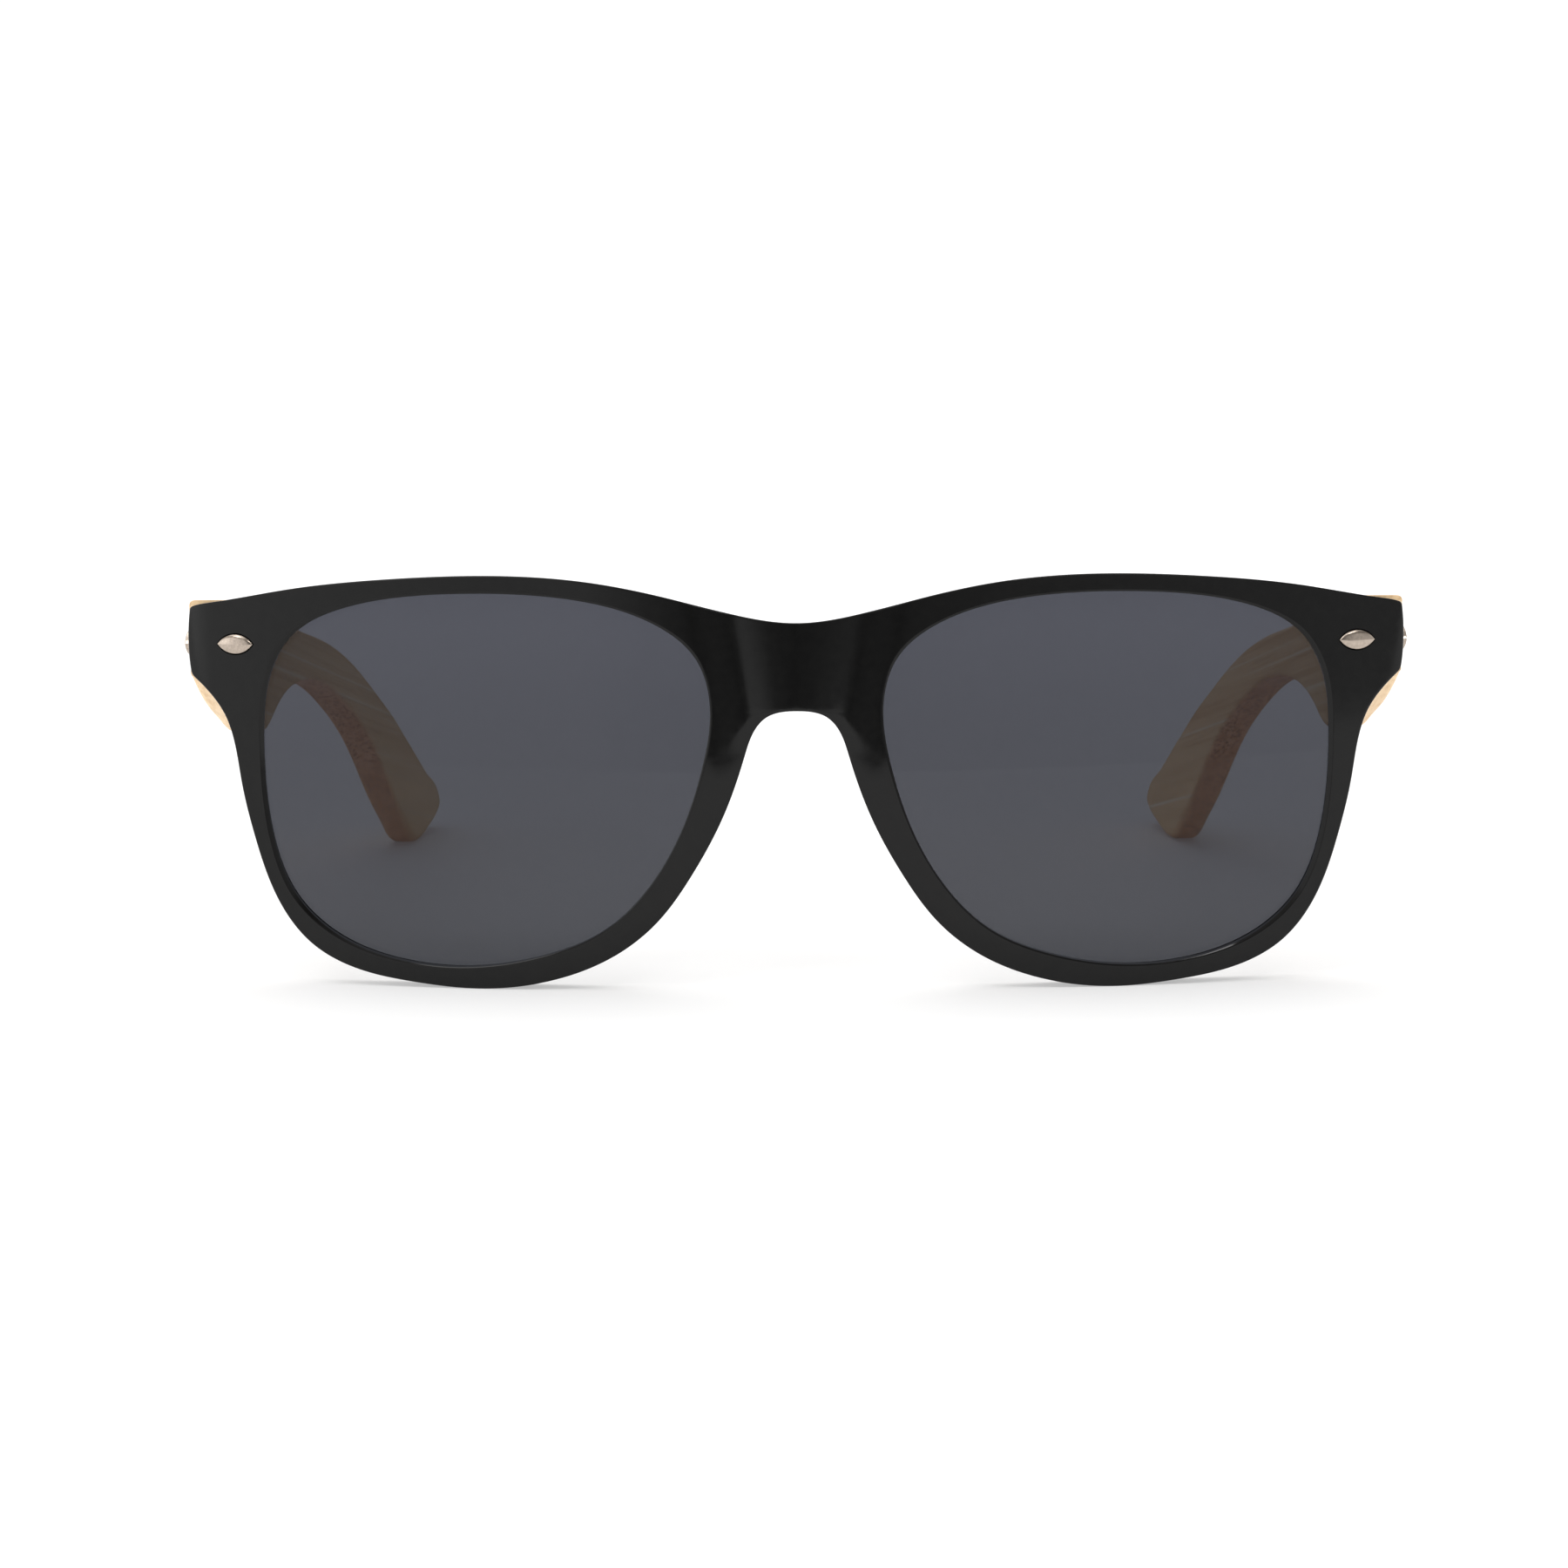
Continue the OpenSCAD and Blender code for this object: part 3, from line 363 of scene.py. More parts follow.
def front_rings():
    """The left half of the front as rings of points round the rim's section, one for each station of the outline.
    A section runs from the mouth of the opening up its bevel, over the face, round the outer edge, down the wall,
    round the back edge, over the back and the nose pad, and through the groove to the mouth. Each stretch is a
    quarter circle or an eased line between places set by the walls, and the face lies on the bowed cylinder. The
    bevel's depth is d = slope * (width - way out), softened to (d + sqrt(d^2 + soft^2)) / 2 where it meets the face."""
    line = respaced(curve(OUTLINE, [1, 0], [-1, 0]), FRONT_POINTS)
    line[:, 1] = np.clip(line[:, 1], 0, BROW_TOP)
    rise = np.linspace(BRIDGE_LOW, BRIDGE_TOP, MIDDLE_POINTS + 2)[1:-1]
    middle = np.stack([np.zeros(MIDDLE_POINTS), rise], 1)
    o = np.concatenate([line, middle])
    n_line, n = len(line), len(o)
    angle = np.unwrap(clockwise(o - LENS_MID))
    window = 26
    wide = np.concatenate([angle[-window:] - 2 * np.pi, angle, angle[:window] + 2 * np.pi])
    angle = np.convolve(wide, np.ones(2 * window + 1) / (2 * window + 1), "valid")
    i = opening(angle)
    into = outward(np.roll(i, -1, 0) - np.roll(i, 1, 0))
    out = outward(np.concatenate([o[1:], o[:1]]) - np.roll(o, 1, 0))
    out[0], out[n_line - 1], out[n_line:] = [0, 1], [0, -1], [-1, 0]
    edge = (np.arange(n) < n_line).astype(float)
    pad_top, pad_bottom = BRIDGE_LOW - PAD_FROM, LENS_MID[1] - PAD_TO * LENS_H / 2
    pad_h = pad_top - pad_bottom
    pad = ease((pad_top - o[:, 1]) / (PAD_SWELL * pad_h)) * ease((o[:, 1] - pad_bottom) / (PAD_FADE * pad_h))
    pad *= edge * (o[:, 0] < LENS_MID[0])
    round_r = edge * EDGE_R
    wall = np.linalg.norm(o - i, axis=1)
    lean = np.minimum(pad * PAD_RISE * math.tan(PAD_SPLAY), wall - FLARE_BACK - PAD_WALL * BACK_R) * edge
    lean += DRAFT * edge * ease((out[:, 1] - DRAFT_FROM) / DRAFT_RUN)
    back = FRONT_T + pad * PAD_RISE
    back_r = LENS_RADIUS - LENS_T - LENS_GAP
    lip = np.maximum(FRONT_T, lens_depth(i, back_r) - bow(i[:, 0]) + BACK_LIP)
    nose_roll = NOSE_FALL * ease((BRIDGE_LOW + NOSE_FROM - o[:, 1]) / NOSE_RUN)
    nose_roll = nose_roll * edge * (o[:, 0] < LENS_MID[0] - NOSE_IN)
    ring = []

    def put(places, depth, on_face=1.0):
        y = bow(places[:, 0]) + depth + on_face * set_back(places)
        ring.append(np.stack([places[:, 0], y, places[:, 1]], 1))

    def put_ball(places, radius):
        ring.append(np.stack([places[:, 0], lens_depth(places, radius), places[:, 1]], 1))

    bevel = mix(BEVEL_W, BEVEL_SIDE, ease(into[:, 0]))
    slope = math.tan(BEVEL_SLOPE)
    face_in, face_out = i + into * (BEVEL_STOPS[-1] * bevel)[:, None], o - out * round_r[:, None]
    for t in BEVEL_STOPS:
        fall = slope * bevel * (1 - t)
        depth = 0.5 * (fall + np.hypot(fall, BEVEL_SOFT)) * (t < BEVEL_STOPS[-1])
        put(i + into * (bevel * t)[:, None], depth)
    for t in np.linspace(0, 1, 25)[1:-1]:
        put(mix(face_in, face_out, t), nose_roll * t**2)
    first_wall = len(ring)
    for t in np.linspace(0, 1, 7):
        a = t * math.pi / 2
        put(o - out * (round_r * (1 - math.sin(a)))[:, None], round_r * (1 - math.cos(a)) + nose_roll)
    o_back = o - out * lean[:, None]
    wall_end = back - BACK_R * edge
    for t in np.linspace(0, 1, 6)[1:]:
        put(mix(o, o_back, t), mix(round_r + nose_roll, wall_end, t), 1 - t)
    for t in np.linspace(0, 1, 5)[1:]:
        a = t * math.pi / 2
        put(o_back - out * (BACK_R * edge * (1 - math.cos(a)))[:, None],
            wall_end + BACK_R * edge * math.sin(a), 0.0)
    last_wall = len(ring) - 1
    back_out, back_in = o_back - out * (BACK_R * edge)[:, None], i + into * (FLARE_BACK + BACK_R)
    for t in np.linspace(0, 1, 11)[1:]:
        put(mix(back_out, back_in, t), mix(back, lip, mix(t, float(ease(t)), 0.5)), 0.0)
    for t in np.linspace(0, 1, 5)[1:]:
        a = t * math.pi / 2
        put(i + into * (FLARE_BACK + BACK_R * (1 - math.sin(a))), lip - BACK_R * (1 - math.cos(a)), 0.0)
    deep = i + into * GROOVE
    put_ball(i + into * FLARE_LENS, back_r)
    put_ball(deep, back_r)
    put_ball(deep, LENS_RADIUS + LENS_GAP)
    put_ball(i, LENS_RADIUS + LENS_GAP)
    mouth_low, mouth_high = lens_depth(i, LENS_RADIUS + LENS_GAP) - bow(i[:, 0]), slope * bevel
    for t in (0.35, 0.7, 1.0):
        put(i, mix(mouth_low, mouth_high, t), t)
    return np.stack(ring, 1), n_line, first_wall, last_wall


def seat_block():
    """The block behind the left end piece: a rounded oblong carried back to the seat, its edge turned by a
    quarter circle, with the oblong pocket of the hinge's leaf let into it. Each ring is a superellipse of the
    same angles, |x / w|^power + |z / h|^power = 1."""
    inboard, outboard = AXIS_X - BARREL_D / 2 - SEAT_MARGIN - LEAF_MARGIN, HALF_W - BACK_R
    high = max(END_H - 2 * SEAT_MARGIN, HINGE_H + SEAT_MARGIN)
    leaf_w = BARREL_D + 2 * LEAF_MARGIN
    count = BLOCK_POINTS
    a = 2 * np.pi * (np.arange(count) + 0.5) / count

    def oblong(mid, w, h, power):
        x = np.sign(np.sin(a)) * np.abs(np.sin(a)) ** (2 / power)
        z = np.sign(np.cos(a)) * np.abs(np.cos(a)) ** (2 / power)
        return np.stack([mid + w / 2 * x, np.zeros(count), END_Z + h / 2 * z], 1)

    mid, w = (inboard + outboard) / 2, outboard - inboard
    rings = [oblong(mid, w, high, BLOCK_POWER) + [0, SEAT_Y - BLOCK_DEPTH, 0]]
    for t in np.linspace(0, 1, 6):
        q = t * math.pi / 2
        inset = 2 * BLOCK_R * (1 - math.cos(q))
        y = SEAT_Y - BLOCK_R * (1 - math.sin(q))
        rings.append(oblong(mid, w - inset, high - inset, BLOCK_POWER) + [0, y, 0])
    pocket = oblong(AXIS_X, leaf_w + 2 * SEAT_GAP, HINGE_H + 2 * SEAT_GAP, POCKET_POWER)
    floor_y = SEAT_Y - LEAF_T - SEAT_GAP
    rings += [pocket + [0, SEAT_Y, 0], pocket + [0, floor_y, 0]]
    verts = np.concatenate(rings + [[[AXIS_X, floor_y, END_Z]], [[mid, SEAT_Y - BLOCK_DEPTH, END_Z]]])
    n = len(rings) * count
    quads = ring_quads(len(rings), count)[:, ::-1]
    return verts, [quads, fan(n, np.arange(n - count, n))[:, ::-1], fan(n + 1, np.arange(count))]


def on_front_trim(v):
    """Places on the left end piece's face: x along the face, y up, z out of it."""
    x = AXIS_X - TRIM_IN
    a = math.asin(x / FRONT_RADIUS)
    v = np.asarray(v, float)
    flat = np.stack([v[:, 0], -v[:, 2], v[:, 1]], 1)
    turn = np.array([[math.cos(a), -math.sin(a), 0], [math.sin(a), math.cos(a), 0], [0, 0, 1]])
    return flat @ turn.T + [x, float(bow(x)), END_Z - TRIM_DROP]


def on_temple_trim(v):
    """Places on the left temple's outer face: x along the board, y up, z out of it."""
    v = np.asarray(v, float)
    along = v[:, 0] + STUD_AT - (AXIS_Y - BUTT_Y)
    out = v[:, 2] + REACH + TEMPLE_T * math.cos(TOE_IN)
    c, s = math.cos(TOE_IN), math.sin(TOE_IN)
    x, y = AXIS_X + c * out - s * along, AXIS_Y + s * out + c * along
    return np.stack([x, y, END_Z - STUD_DROP + v[:, 1]], 1)


def eye_stud(length, height, foot, wall, rise):
    """A domed eye-shaped stud: its outline is carried up a straight wall and then drawn in to its middle line.
    At the angle a up the crown the eye's width is times cos a and the crown stands rise * sin a, times a share
    that falls from 1 to 0.1 towards the two points as (1 - u^2)^0.75, u being the way out from the middle."""
    count = EYE_POINTS
    base = eye_line(length, height, count)
    share = mix(0.1, 1.0, np.clip(1 - (2 * base[:, 0] / length) ** 2, 0, 1) ** 0.75)
    a = np.linspace(0, 0.985, 16) * math.pi / 2
    levels = len(a) + 2
    across = np.concatenate([[1, 1], np.cos(a)])
    up = np.concatenate([np.full((1, 2 * count), -foot), np.full((1, 2 * count), -0.05),
                         wall + rise * share[None] * np.sin(a)[:, None]])
    rings = np.stack([np.repeat(base[None, :, 0], levels, 0), base[None, :, 1] * across[:, None], up], -1)
    verts = rings.reshape(-1, 3)
    around = 2 * count
    top = (levels - 1) * around
    k = np.arange(count)
    ridge = np.stack([k, k + 1, (around - k - 1) % around, (around - k) % around], -1)[1:-1]
    ends = np.array([[0, 1, around - 1], [count - 1, count, count + 1]])
    quads = ring_quads(levels, around)[:, ::-1]
    return verts, [quads, top + ridge[:, ::-1], top + ends[:, ::-1], ridge, ends]


def eye_recess(flare):
    """The cutter of a trim's recess: the eye a gap larger than the trim, with a narrow flare at the face."""
    count = EYE_POINTS
    deep = eye_line(TRIM_L + 2 * TRIM_GAP, TRIM_H + 2 * TRIM_GAP, count)
    wide = eye_line(TRIM_L + 2 * (TRIM_GAP + flare), TRIM_H + 2 * (TRIM_GAP + flare), count)
    level = [(deep, -TRIM_SINK), (deep, -flare), (wide, 0.0), (wide, 1.0)]
    verts = np.concatenate([np.column_stack([p, np.full(2 * count, z)]) for p, z in level])
    around, top = 2 * count, 3 * 2 * count
    quads = ring_quads(4, around)[:, ::-1]
    return verts, [quads, np.arange(around)[None, :], (top + np.arange(around))[None, ::-1]]


def lens_shell(count=360, steps=28):
    """The left lens: the opening's outline widened into its groove and drawn in to the middle in even steps, on
    the outer ball in front and on the inner ball behind, with a straight edge between them."""
    a = 2 * np.pi * np.arange(count) / count
    i = opening(a)
    into = outward(np.roll(i, -1, 0) - np.roll(i, 1, 0))
    rim_line = i + into * (GROOVE - LENS_GAP)
    shares = np.linspace(0, 1, steps + 1)[1:]
    grid = LENS_MID + shares[:, None, None] * (rim_line - LENS_MID)[None]
    balls = (LENS_RADIUS, LENS_RADIUS - LENS_T)
    front, back = (np.stack([grid[..., 0], lens_depth(grid, r), grid[..., 1]], -1) for r in balls)
    poles = [[LENS_MID[0], float(lens_depth(LENS_MID, r)), LENS_MID[1]] for r in balls]
    rings = np.concatenate([front, back[::-1]])
    verts = np.concatenate([rings.reshape(-1, 3), poles])
    n = 2 * steps * count
    middles = [fan(n, np.arange(count))[:, ::-1], fan(n + 1, np.arange(n - count, n))]
    return verts, [ring_quads(2 * steps, count), *middles]


def temple_board():
    """The left temple: the side outline at each level through the board's thickness, drawn in by quarter circles
    at the two faces, which are larger where the tip touches the ground, and slanted inwards by the toe. The front
    end stays square. Also given for each point are three marks from 0 to 1: whether it lies on an edge, between
    the roundings, whether that edge faces down, and whether it lies behind the bulge."""
    line = respaced(curve(TEMPLE, [1, -0.03], [-0.78, 0.62]), TEMPLE_POINTS)
    line[:, 1] = np.maximum(line[:, 1], 0)
    tangent = np.concatenate([line[1:2] - line[:1], line[2:] - line[:-2], line[-1:] - line[-2:-1]])
    out = outward(tangent)
    a = np.linspace(0, 1, 7) * math.pi / 2
    tip = ease((line[:, 0] - TEMPLE_L + TIP_FROM) / TIP_RUN) * ease((TEMPLE_L - TIP_TO - line[:, 0]) / TIP_FADE)
    rounding = mix(TEMPLE_EDGE, TIP_EDGE, tip)
    inset, rise = (1 - np.sin(a))[:, None] * rounding, (1 - np.cos(a))[:, None] * rounding
    inset, rise = np.concatenate([inset, inset[::-1]]), np.concatenate([rise, TEMPLE_T - rise[::-1]])
    flat = line[None] - out[None] * inset[..., None]
    flat[:, [0, -1], 0] = 0
    x = INNER_X + rise - flat[..., 0] * math.tan(TOE_IN)
    rings = np.stack([x, BUTT_Y + flat[..., 0], flat[..., 1]], -1)
    levels, n = rings.shape[:2]
    top = (levels - 1) * n
    quads = ring_quads(levels, n)[:, ::-1]
    faces = [quads, np.arange(n)[None, :], (top + np.arange(n))[None, ::-1]]
    edge = np.repeat(np.concatenate([ease(a / a[-1]), ease(a[::-1] / a[-1])])[:, None], n, 1)
    # The under and rear marks also place the bamboo's painted light and shade on its lower edges
    under = edge * mix(1.0, UPPER_SHARE, ease(0.5 + out[:, 1]))
    rear = ease((flat[..., 0] - REAR_FROM) / REAR_RUN)
    return rings.reshape(-1, 3), faces, {"edge": edge.ravel(), "under": under.ravel(), "rear": rear.ravel()}


def cut(obj, cutters):
    """obj with the cutter meshes taken out of it, its mesh rebuilt and creased."""
    helpers = []
    for k, (verts, faces) in enumerate(cutters):
        helper = bpy.data.objects.new(f"cutter_{k}", make_mesh(f"cutter_{k}", verts, faces))
        bpy.context.scene.collection.objects.link(helper)
        helpers.append(helper)
        step = obj.modifiers.new(f"cut_{k}", "BOOLEAN")
        step.operation, step.solver, step.object = "DIFFERENCE", "EXACT", helper
    graph = bpy.context.evaluated_depsgraph_get()
    mesh = bpy.data.meshes.new_from_object(obj.evaluated_get(graph))
    obj.modifiers.clear()
    for helper in helpers:
        bpy.data.objects.remove(helper)
    mesh.shade_smooth()
    mesh.set_sharp_from_angle(angle=CREASE)
    obj.data = mesh


# Materials
def feed(links, socket, value):
    """Feeds a socket from another one, or sets it to a constant value."""
    if isinstance(value, bpy.types.NodeSocket):
        links.new(value, socket)
    else:
        socket.default_value = value


def new_material(name, values):
    """A material whose shader has these values, with its nodes, its links and the shader."""
    mat = bpy.data.materials.new(name)
    mat.use_nodes = True
    nodes, links = mat.node_tree.nodes, mat.node_tree.links
    shader = next(n for n in nodes if n.type == "BSDF_PRINCIPLED")
    for key, value in values.items():
        shader.inputs[key].default_value = value
    return mat, nodes, links, shader


def node(nodes, kind, **values):
    made = nodes.new(kind)
    for key, value in values.items():
        if key in made.inputs:
            made.inputs[key].default_value = value
        else:
            setattr(made, key, value)
    return made


def object_place(nodes):
    """A point's place on its object."""
    return nodes.new("ShaderNodeTexCoord").outputs["Object"]


def texture(nodes, links, kind, place, **values):
    """A texture node, such as Noise or Voronoi, read at a place."""
    made = node(nodes, f"ShaderNodeTex{kind}", **values)
    links.new(place, made.inputs["Vector"])
    return made


def ramp(nodes, links, value, stops):
    """The colour of a ramp at a value."""
    made = nodes.new("ShaderNodeValToRGB")
    elements = made.color_ramp.elements
    while len(elements) < len(stops):
        elements.new(0.5)
    for element, (place, colour) in zip(elements, stops):
        element.position, element.color = place, (*colour, 1)
    links.new(value, made.inputs["Fac"])
    return made.outputs["Color"]


def remap(nodes, links, value, to=(0.0, 1.0), span=(0.0, 1.0), **values):
    """A value taken from its span to another one."""
    made = node(nodes, "ShaderNodeMapRange", **values)
    for key, number in zip(("From Min", "From Max", "To Min", "To Max"), (*span, *to)):
        made.inputs[key].default_value = number
    links.new(value, made.inputs["Value"])
    return made.outputs["Result"]


def calculate(nodes, links, operation, a, b):
    """The value of a math node. a and b are sockets or constant values."""
    made = node(nodes, "ShaderNodeMath", operation=operation)
    for socket, value in zip(made.inputs, (a, b)):
        feed(links, socket, value)
    return made.outputs["Value"]


def blend(nodes, links, kind, share, under, over):
    """Colours laid over one another. share, under and over are sockets or constant values."""
    made = node(nodes, "ShaderNodeMix", data_type="RGBA", blend_type=kind)
    for slot, value in ((0, share), (6, under), (7, over)):
        feed(links, made.inputs[slot], value)
    return made.outputs[2]


def add_bump(nodes, links, shader, height, strength, distance):
    """Raises a shader's surface by a height."""
    bump = node(nodes, "ShaderNodeBump", Strength=strength, Distance=distance)
    links.new(height, bump.inputs["Height"])
    links.new(bump.outputs["Normal"], shader.inputs["Normal"])


def grey(level):
    return (level,) * 3


# Share of a lens face that doesn't let light through, and the heights in metres that its tone changes between
LENS_TINT, LENS_HEIGHTS = 0.714, (0.004, 0.046)
# Colours of the bamboo's pale strands, of its fibre ends, and of the painted light on its cut edges in front and the
# painted shade on them behind
STRAND_COLOUR, FIBRE_END = (0.98, 0.88, 0.68, 1), (0.27, 0.14, 0.09, 1)
EDGE_PAINTED_LIGHT, EDGE_PAINTED_SHADE = (1.01, 1.05, 1.14, 1), (0.87, 0.71, 0.74, 1)
BLACK = (0, 0, 0, 1)
# How strongly the fibre ends show, from the faces to the lower edge behind
DOT_SHARES = (0.03, 0.88)
# How much darker than its colour a metal is in its dull specks
METAL_DULL = 0.76


def black_plastic():
    """Polished black moulding: nearly black, with a trace of dust in the tone and in the gloss."""
    mat, nodes, links, shader = new_material("gloss_black", {"IOR": 1.5, "Specular IOR Level": 0.24})
    dust = texture(nodes, links, "Noise", object_place(nodes), Scale=900.0, Detail=3.0).outputs["Fac"]
    links.new(remap(nodes, links, dust, (0.06, 0.10), (0.3, 0.75)), shader.inputs["Roughness"])
    tone = ramp(nodes, links, dust, [(0.3, grey(0.0028)), (0.8, (0.0044, 0.0044, 0.0042))])
    links.new(tone, shader.inputs["Base Color"])
    return mat


def tinted_lens():
    """Grey-tinted polished lens: each face lets a little over a quarter of the light through, a trace bluer
    towards the top, and adds a faint reflection."""
    mat, nodes, links, shader = new_material("grey_tint", {
        "Base Color": (0.004, 0.004, 0.004, 1), "Roughness": 0.03, "IOR": 1.5, "Specular IOR Level": 0.07,
    })
    split = nodes.new("ShaderNodeSeparateXYZ")
    links.new(object_place(nodes), split.inputs["Vector"])
    rise = remap(nodes, links, split.outputs["Z"], span=LENS_HEIGHTS)
    tone = ramp(nodes, links, rise, [(0.0, (0.918, 0.938, 1.0)), (1.0, (0.885, 0.905, 1.0))])
    through = nodes.new("ShaderNodeBsdfTransparent")
    links.new(tone, through.inputs["Color"])
    both = node(nodes, "ShaderNodeMixShader", Fac=LENS_TINT)
    links.new(through.outputs["BSDF"], both.inputs[1])
    links.new(shader.outputs["BSDF"], both.inputs[2])
    result = next(n for n in nodes if n.type == "OUTPUT_MATERIAL")
    links.new(both.outputs["Shader"], result.inputs["Surface"])
    return mat


def bamboo(side):
    """Bamboo board: straight fibre bundles that run along the grain, so that they are fine lines on the faces and
    dark dots where the lower edge cuts across them, on pale strips of slightly different tone with a few lighter
    strands on the faces. On the lower edge, marked by the mesh's under and rear attributes, light and shade are
    painted: it is painted paler than the faces in front, as light, and browner behind, as shade."""
    mat, nodes, links, shader = new_material(f"bamboo_{side}", {"IOR": 1.45})
    tree = (nodes, links)
    turn = node(nodes, "ShaderNodeMapping", vector_type="TEXTURE")
    turn.inputs["Rotation"].default_value = (GRAIN, 0, TOE_IN * SIDES[side])
    links.new(object_place(nodes), turn.inputs["Vector"])

    def stretched(kind, scale, **values):
        """A texture along the grain, with a scale for each axis."""
        made = node(nodes, "ShaderNodeMapping", Scale=scale)
        links.new(turn.outputs["Vector"], made.inputs["Vector"])
        return texture(*tree, kind, made.outputs["Vector"], Scale=1.0, **values)

    broad = stretched("Noise", (160, 9, 240), Detail=2.0).outputs["Fac"]
    ground = ramp(*tree, broad, [
        (0.25, (0.86, 0.60, 0.345)), (0.5, (0.93, 0.675, 0.40)), (0.8, (0.955, 0.73, 0.46)),
    ])
    fibre = stretched("Noise", (1500, 16, 1500), Detail=4.0, Roughness=0.6).outputs["Fac"]
    streak = ramp(*tree, fibre, [(0.34, (0.78, 0.70, 0.58)), (0.56, grey(1))])
    colour = blend(*tree, "MULTIPLY", 0.8, ground, streak)
    strand = stretched("Noise", (160, 4, 1300), Detail=1.0).outputs["Fac"]
    pale = ramp(*tree, strand, [(0.62, grey(0)), (0.72, grey(0.75))])
    edge, under, rear = (
        node(nodes, "ShaderNodeAttribute", attribute_name=name).outputs["Fac"] for name in ("edge", "under", "rear")
    )
    on_face = blend(*tree, "MIX", edge, pale, BLACK)
    colour = blend(*tree, "MIX", on_face, colour, STRAND_COLOUR)
    bundles = stretched("Voronoi", (1950, 950, 1950), Randomness=1.0).outputs["Distance"]
    dots = ramp(*tree, bundles, [(0.22, grey(1)), (0.46, grey(0))])
    across = calculate(*tree, "MULTIPLY", under, rear)
    share = calculate(*tree, "MULTIPLY", dots, remap(*tree, across, DOT_SHARES))
    # Painted light on the lower edges in front and painted shade on them behind, strongest on edges that face down
    painted_edge_light_shade = blend(*tree, "MIX", rear, EDGE_PAINTED_LIGHT, EDGE_PAINTED_SHADE)
    colour = blend(*tree, "MULTIPLY", under, colour, painted_edge_light_shade)
    colour = blend(*tree, "MIX", share, colour, FIBRE_END)
    links.new(colour, shader.inputs["Base Color"])
    links.new(remap(*tree, fibre, (0.38, 0.58)), shader.inputs["Roughness"])
    add_bump(*tree, shader, fibre, 0.25, 0.0001)
    return mat


def metal(name, colour, roughness, grain):
    """Bare metal of one colour whose roughness varies between two values with a fine grain."""
    mat, nodes, links, shader = new_material(name, {"Metallic": 1.0})
    speck = texture(nodes, links, "Noise", object_place(nodes), Scale=grain, Detail=4.0).outputs["Fac"]
    links.new(remap(nodes, links, speck, roughness), shader.inputs["Roughness"])
    dull = tuple(METAL_DULL * c for c in colour)
    links.new(ramp(nodes, links, speck, [(0.3, dull), (0.7, colour)]), shader.inputs["Base Color"])
    add_bump(nodes, links, shader, speck, 0.1, 0.00005)
    return mat


gloss_black = black_plastic()
grey_tint = tinted_lens()
bamboo_of = {side: bamboo(side) for side in SIDES}
trim_metal = metal("trim_metal", (0.52, 0.44, 0.37), (0.10, 0.24), 3200.0)
hinge_metal = metal("hinge_metal", (0.56, 0.56, 0.57), (0.28, 0.45), 1800.0)
screw_metal = metal("screw_metal", (0.50, 0.50, 0.52), (0.22, 0.38), 2600.0)


def placed(shape, sign, where=None):
    """A left shape's points and faces on one side: as they are, or mirrored with the faces turned round."""
    points, polygons = shape
    points = points if where is None else where(points)
    if sign < 0:
        return mirrored(points), [f[:, ::-1] for f in polygons]
    return points, polygons


# The front: two mirrored halves that share the points of the middle, and a seat block behind each end piece
rings, n_line, first_wall, last_wall = front_rings()
stations, around = rings.shape[:2]
half = rings.reshape(-1, 3)
quads = ring_quads(stations, around, close_rings=True)
strip = np.arange(len(quads))
inner = (strip // around >= n_line - 1) & (strip % around >= first_wall) & (strip % around < last_wall)
quads = quads[~inner]
same = np.abs(half[:, 0]) < 1e-6
twin = np.where(same, np.arange(len(half)), np.arange(len(half)) + len(half))
block, block_faces = seat_block()
verts = np.concatenate([half, mirrored(half), block, mirrored(block)])
base = 2 * len(half)
faces = [quads, twin[quads][:, ::-1]]
faces += [f + base for f in block_faces] + [f[:, ::-1] + base + len(block) for f in block_faces]
front = add_piece("front_gloss", (verts, faces), "front", ["front_frame"], gloss_black)
cut(front, [placed(eye_recess(TRIM_FLARE), sign, on_front_trim) for sign in SIDES.values()])

for side, sign in SIDES.items():
    arm = f"{side}_temple_arm"
    add_piece(f"{side}_lens_tint", placed(lens_shell(), sign), "front", [f"{side}_lens"], grey_tint)
    trim = eye_stud(TRIM_L, TRIM_H, TRIM_SINK, 0.0, TRIM_RISE)
    add_piece(f"{side}_front_eye", placed(trim, sign, on_front_trim), "front",
              [f"{side}_front_trim"], trim_metal)
    stud = eye_stud(STUD_L, STUD_H, STUD_SINK, STUD_WALL, STUD_RISE - STUD_WALL)
    add_piece(f"{side}_temple_eye", placed(stud, sign, on_temple_trim), arm,
              [f"{side}_temple_trim"], trim_metal)
    *board, marks = temple_board()
    temple = add_piece(f"{side}_temple_board", placed(board, sign), arm,
                       [f"{side}_temple"], bamboo_of[side])
    for name, values in marks.items():
        temple.data.attributes.new(name, "FLOAT", "POINT").data.foreach_set("value", values.astype(np.float32))
    # The hinges and screws stay the part's own solids
    for made_of, names in (
        (hinge_metal, ("front_hinge", "temple_hinge")),
        (screw_metal, ("hinge_screw", "leaf_screw_front", "leaf_screw_rear")),
    ):
        for name in names:
            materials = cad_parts[f"{side}_{name}"].data.materials
            materials.clear()
            materials.append(made_of)

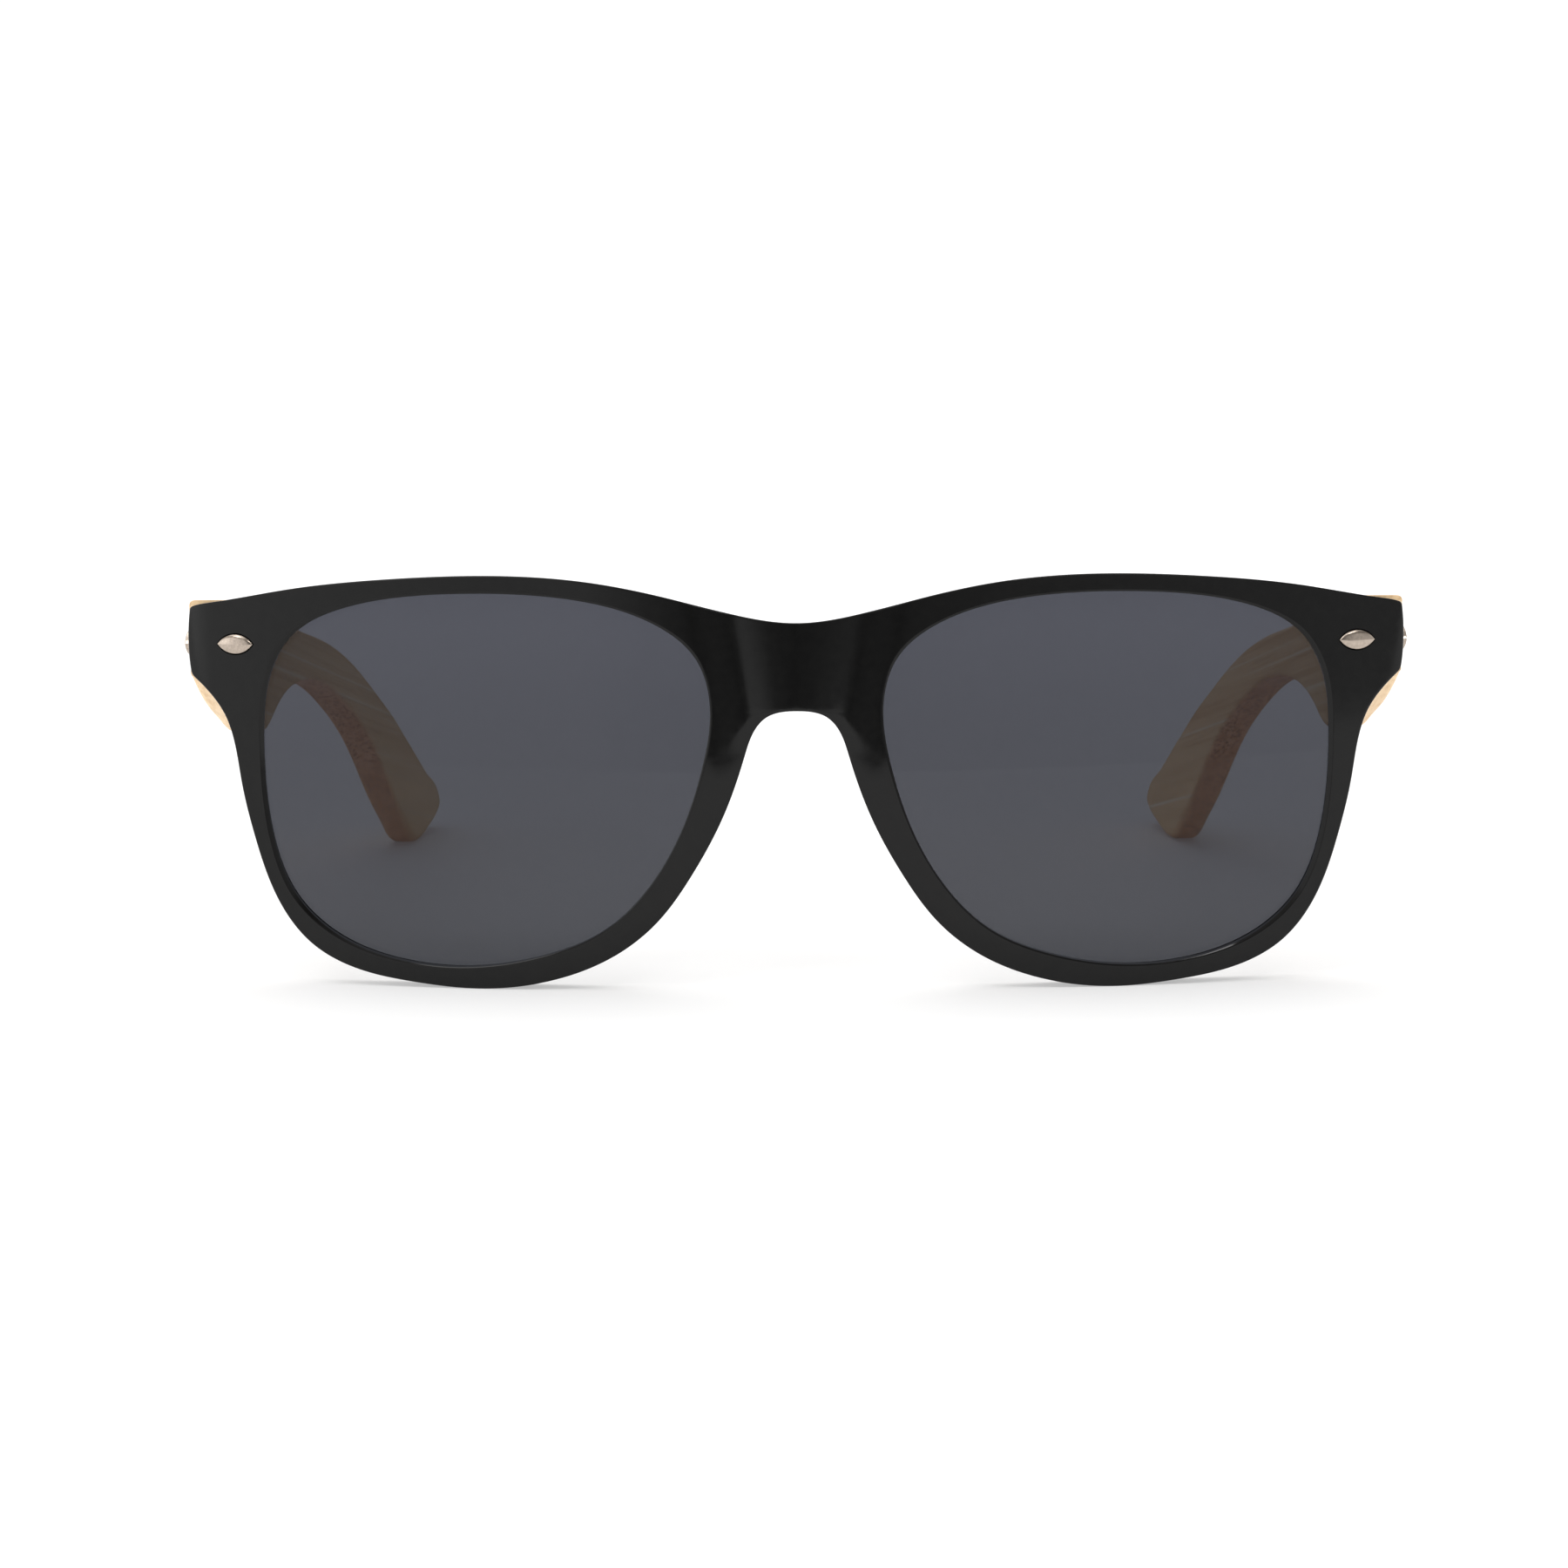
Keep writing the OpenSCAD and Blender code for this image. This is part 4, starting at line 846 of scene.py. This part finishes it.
# Stage: a pale floor that ends in front of the object, four lamps, and a studio round it, in metres.
# The floor glows by itself, less near the object, so that the shadow shows there and the ground is white further off
FLOOR_SIDE, FLOOR_NEAR, FLOOR_FAR = 4, -0.32, 12
FLOOR_GLOW, GLOW_REACH = (0.42, 0.6), (0.15, 0.6)
scene = bpy.context.scene
scene.view_settings.view_transform = "Standard"
floor_mesh = bpy.data.meshes.new("floor")
floor_mesh.from_pydata([
    (-FLOOR_SIDE, FLOOR_NEAR, 0), (FLOOR_SIDE, FLOOR_NEAR, 0), (FLOOR_SIDE, FLOOR_FAR, 0), (-FLOOR_SIDE, FLOOR_FAR, 0),
], [], [(0, 1, 2, 3)])
floor = bpy.data.objects.new("floor", floor_mesh)
scene.collection.objects.link(floor)
floor_mat, floor_nodes, floor_links, floor_shader = new_material("pale_floor", {
    "Base Color": (0.6, 0.6, 0.6, 1), "Roughness": 1.0, "Specular IOR Level": 0.0, "Emission Color": (1, 1, 1, 1),
})
floor_away = node(floor_nodes, "ShaderNodeVectorMath", operation="LENGTH")
floor_links.new(object_place(floor_nodes), floor_away.inputs[0])
floor_glow = remap(floor_nodes, floor_links, floor_away.outputs["Value"], FLOOR_GLOW, GLOW_REACH,
                   interpolation_type="SMOOTHSTEP")
floor_links.new(floor_glow, floor_shader.inputs["Emission Strength"])
floor_mesh.materials.append(floor_mat)


def softbox(name, place, aim, size, power):
    """A rectangular lamp at a place, turned to face a point."""
    lamp = bpy.data.lights.new(name, "AREA")
    lamp.shape, lamp.size, lamp.size_y, lamp.energy = "RECTANGLE", *size, power
    obj = bpy.data.objects.new(name, lamp)
    scene.collection.objects.link(obj)
    obj.location = place
    obj.rotation_euler = Vector(np.subtract(aim, place)).to_track_quat("-Z", "Y").to_euler()
    return obj


softbox("overhead", (0, 0.35, 1.0), (0, 0.0, 0), (0.9, 0.9), 4.2)
# A low fill in front for the bamboo, left out of the gloss
front_fill = softbox("front_fill", (0, -0.75, 0.03), (0, -0.06, 0.03), (1.2, 0.05), 1.6)
front_fill.visible_glossy = False
softbox("key", (-0.45, -0.62, 0.86), (0, -0.07, 0.03), (0.34, 0.34), 1.2)
softbox("strip", (0.33, -0.636, 0.827), (0, -0.07, 0.0), (0.42, 0.1), 1.1)

# Brightness of the studio's walls, by the bearing in degrees from behind the camera, the object's right first
STUDIO = [
    (-180, 1.25), (-110, 1.25), (-60, 1.85), (-39, 1.28), (-21, 0.97), (-14, 1.0), (-8, 0.3), (0, 0.17),
    (8, 0.3), (14, 0.46), (21, 0.51), (39, 0.68), (60, 0.6), (90, 0.7), (120, 1.1), (180, 1.25),
]
# The ceiling by the height of the line of sight, what it is multiplied by from the object's right to its left,
# and the heights and the widths between which these two change
CEILING = [(0.5, (0.35, 0.33, 0.31)), (0.72, (0.45, 0.44, 0.43)), (0.86, grey(1.1))]
CEILING_SIDES = [(0.0, grey(1.6)), (0.45, grey(1.2)), (0.7, (0.45, 0.43, 0.42)), (1.0, grey(0.6))]
CEILING_FROM, CEILING_WIDTH = (0.4, 0.6), (-0.5, 0.5)
# Strength of the white that the camera sees in place of the studio
BACKDROP = 1.05
world = bpy.data.worlds.new("studio")
scene.world = world
world.use_nodes = True
w_nodes, w_links = world.node_tree.nodes, world.node_tree.links
w_tree = (w_nodes, w_links)
w_nodes.clear()
w_split = w_nodes.new("ShaderNodeSeparateXYZ")
w_links.new(w_nodes.new("ShaderNodeTexCoord").outputs["Generated"], w_split.inputs["Vector"])
w_x, w_y, w_z = (w_split.outputs[axis] for axis in "XYZ")
w_bearing = calculate(*w_tree, "ARCTAN2", w_x, calculate(*w_tree, "MULTIPLY", w_y, -1.0))
w_turn = remap(*w_tree, w_bearing, span=(-math.pi, math.pi))
w_walls = ramp(*w_tree, w_turn, [((bearing + 180) / 360, grey(level)) for bearing, level in STUDIO])
w_lean = ramp(*w_tree, remap(*w_tree, w_x, span=CEILING_WIDTH), CEILING_SIDES)
w_above = blend(*w_tree, "MULTIPLY", 1.0, ramp(*w_tree, w_z, CEILING), w_lean)
w_high = remap(*w_tree, w_z, span=CEILING_FROM, interpolation_type="SMOOTHSTEP")
w_room = node(w_nodes, "ShaderNodeBackground", Strength=1.0)
w_links.new(blend(*w_tree, "MIX", w_high, w_walls, w_above), w_room.inputs["Color"])
w_white = node(w_nodes, "ShaderNodeBackground", Color=(1, 1, 1, 1), Strength=BACKDROP)
w_mix = w_nodes.new("ShaderNodeMixShader")
w_links.new(w_nodes.new("ShaderNodeLightPath").outputs["Is Camera Ray"], w_mix.inputs["Fac"])
w_links.new(w_room.outputs["Background"], w_mix.inputs[1])
w_links.new(w_white.outputs["Background"], w_mix.inputs[2])
w_links.new(w_mix.outputs["Shader"], w_nodes.new("ShaderNodeOutputWorld").inputs["Surface"])

# Camera at the photograph's place: straight on, a little above, looking slightly down
CAMERA_PLACE = (-1.507, -380.0, 70.19)
CAMERA_PITCH, CAMERA_ROLL = 6.84, 0.24
FOCAL_PIXELS, IMAGE_PIXELS, SENSOR = 3764.0, 1800.0, 36.0
lens_data = bpy.data.cameras.new("camera")
lens_data.sensor_fit, lens_data.sensor_width = "HORIZONTAL", SENSOR
lens_data.lens = FOCAL_PIXELS / IMAGE_PIXELS * SENSOR
lens_data.clip_start = 0.01
camera = bpy.data.objects.new("camera", lens_data)
scene.collection.objects.link(camera)
camera.location = to_row(CAMERA_PLACE)
camera_turn = Matrix.Rotation(math.radians(90 - CAMERA_PITCH), 3, "X")
camera.rotation_euler = (camera_turn @ Matrix.Rotation(math.radians(-CAMERA_ROLL), 3, "Z")).to_euler()
scene.camera = camera
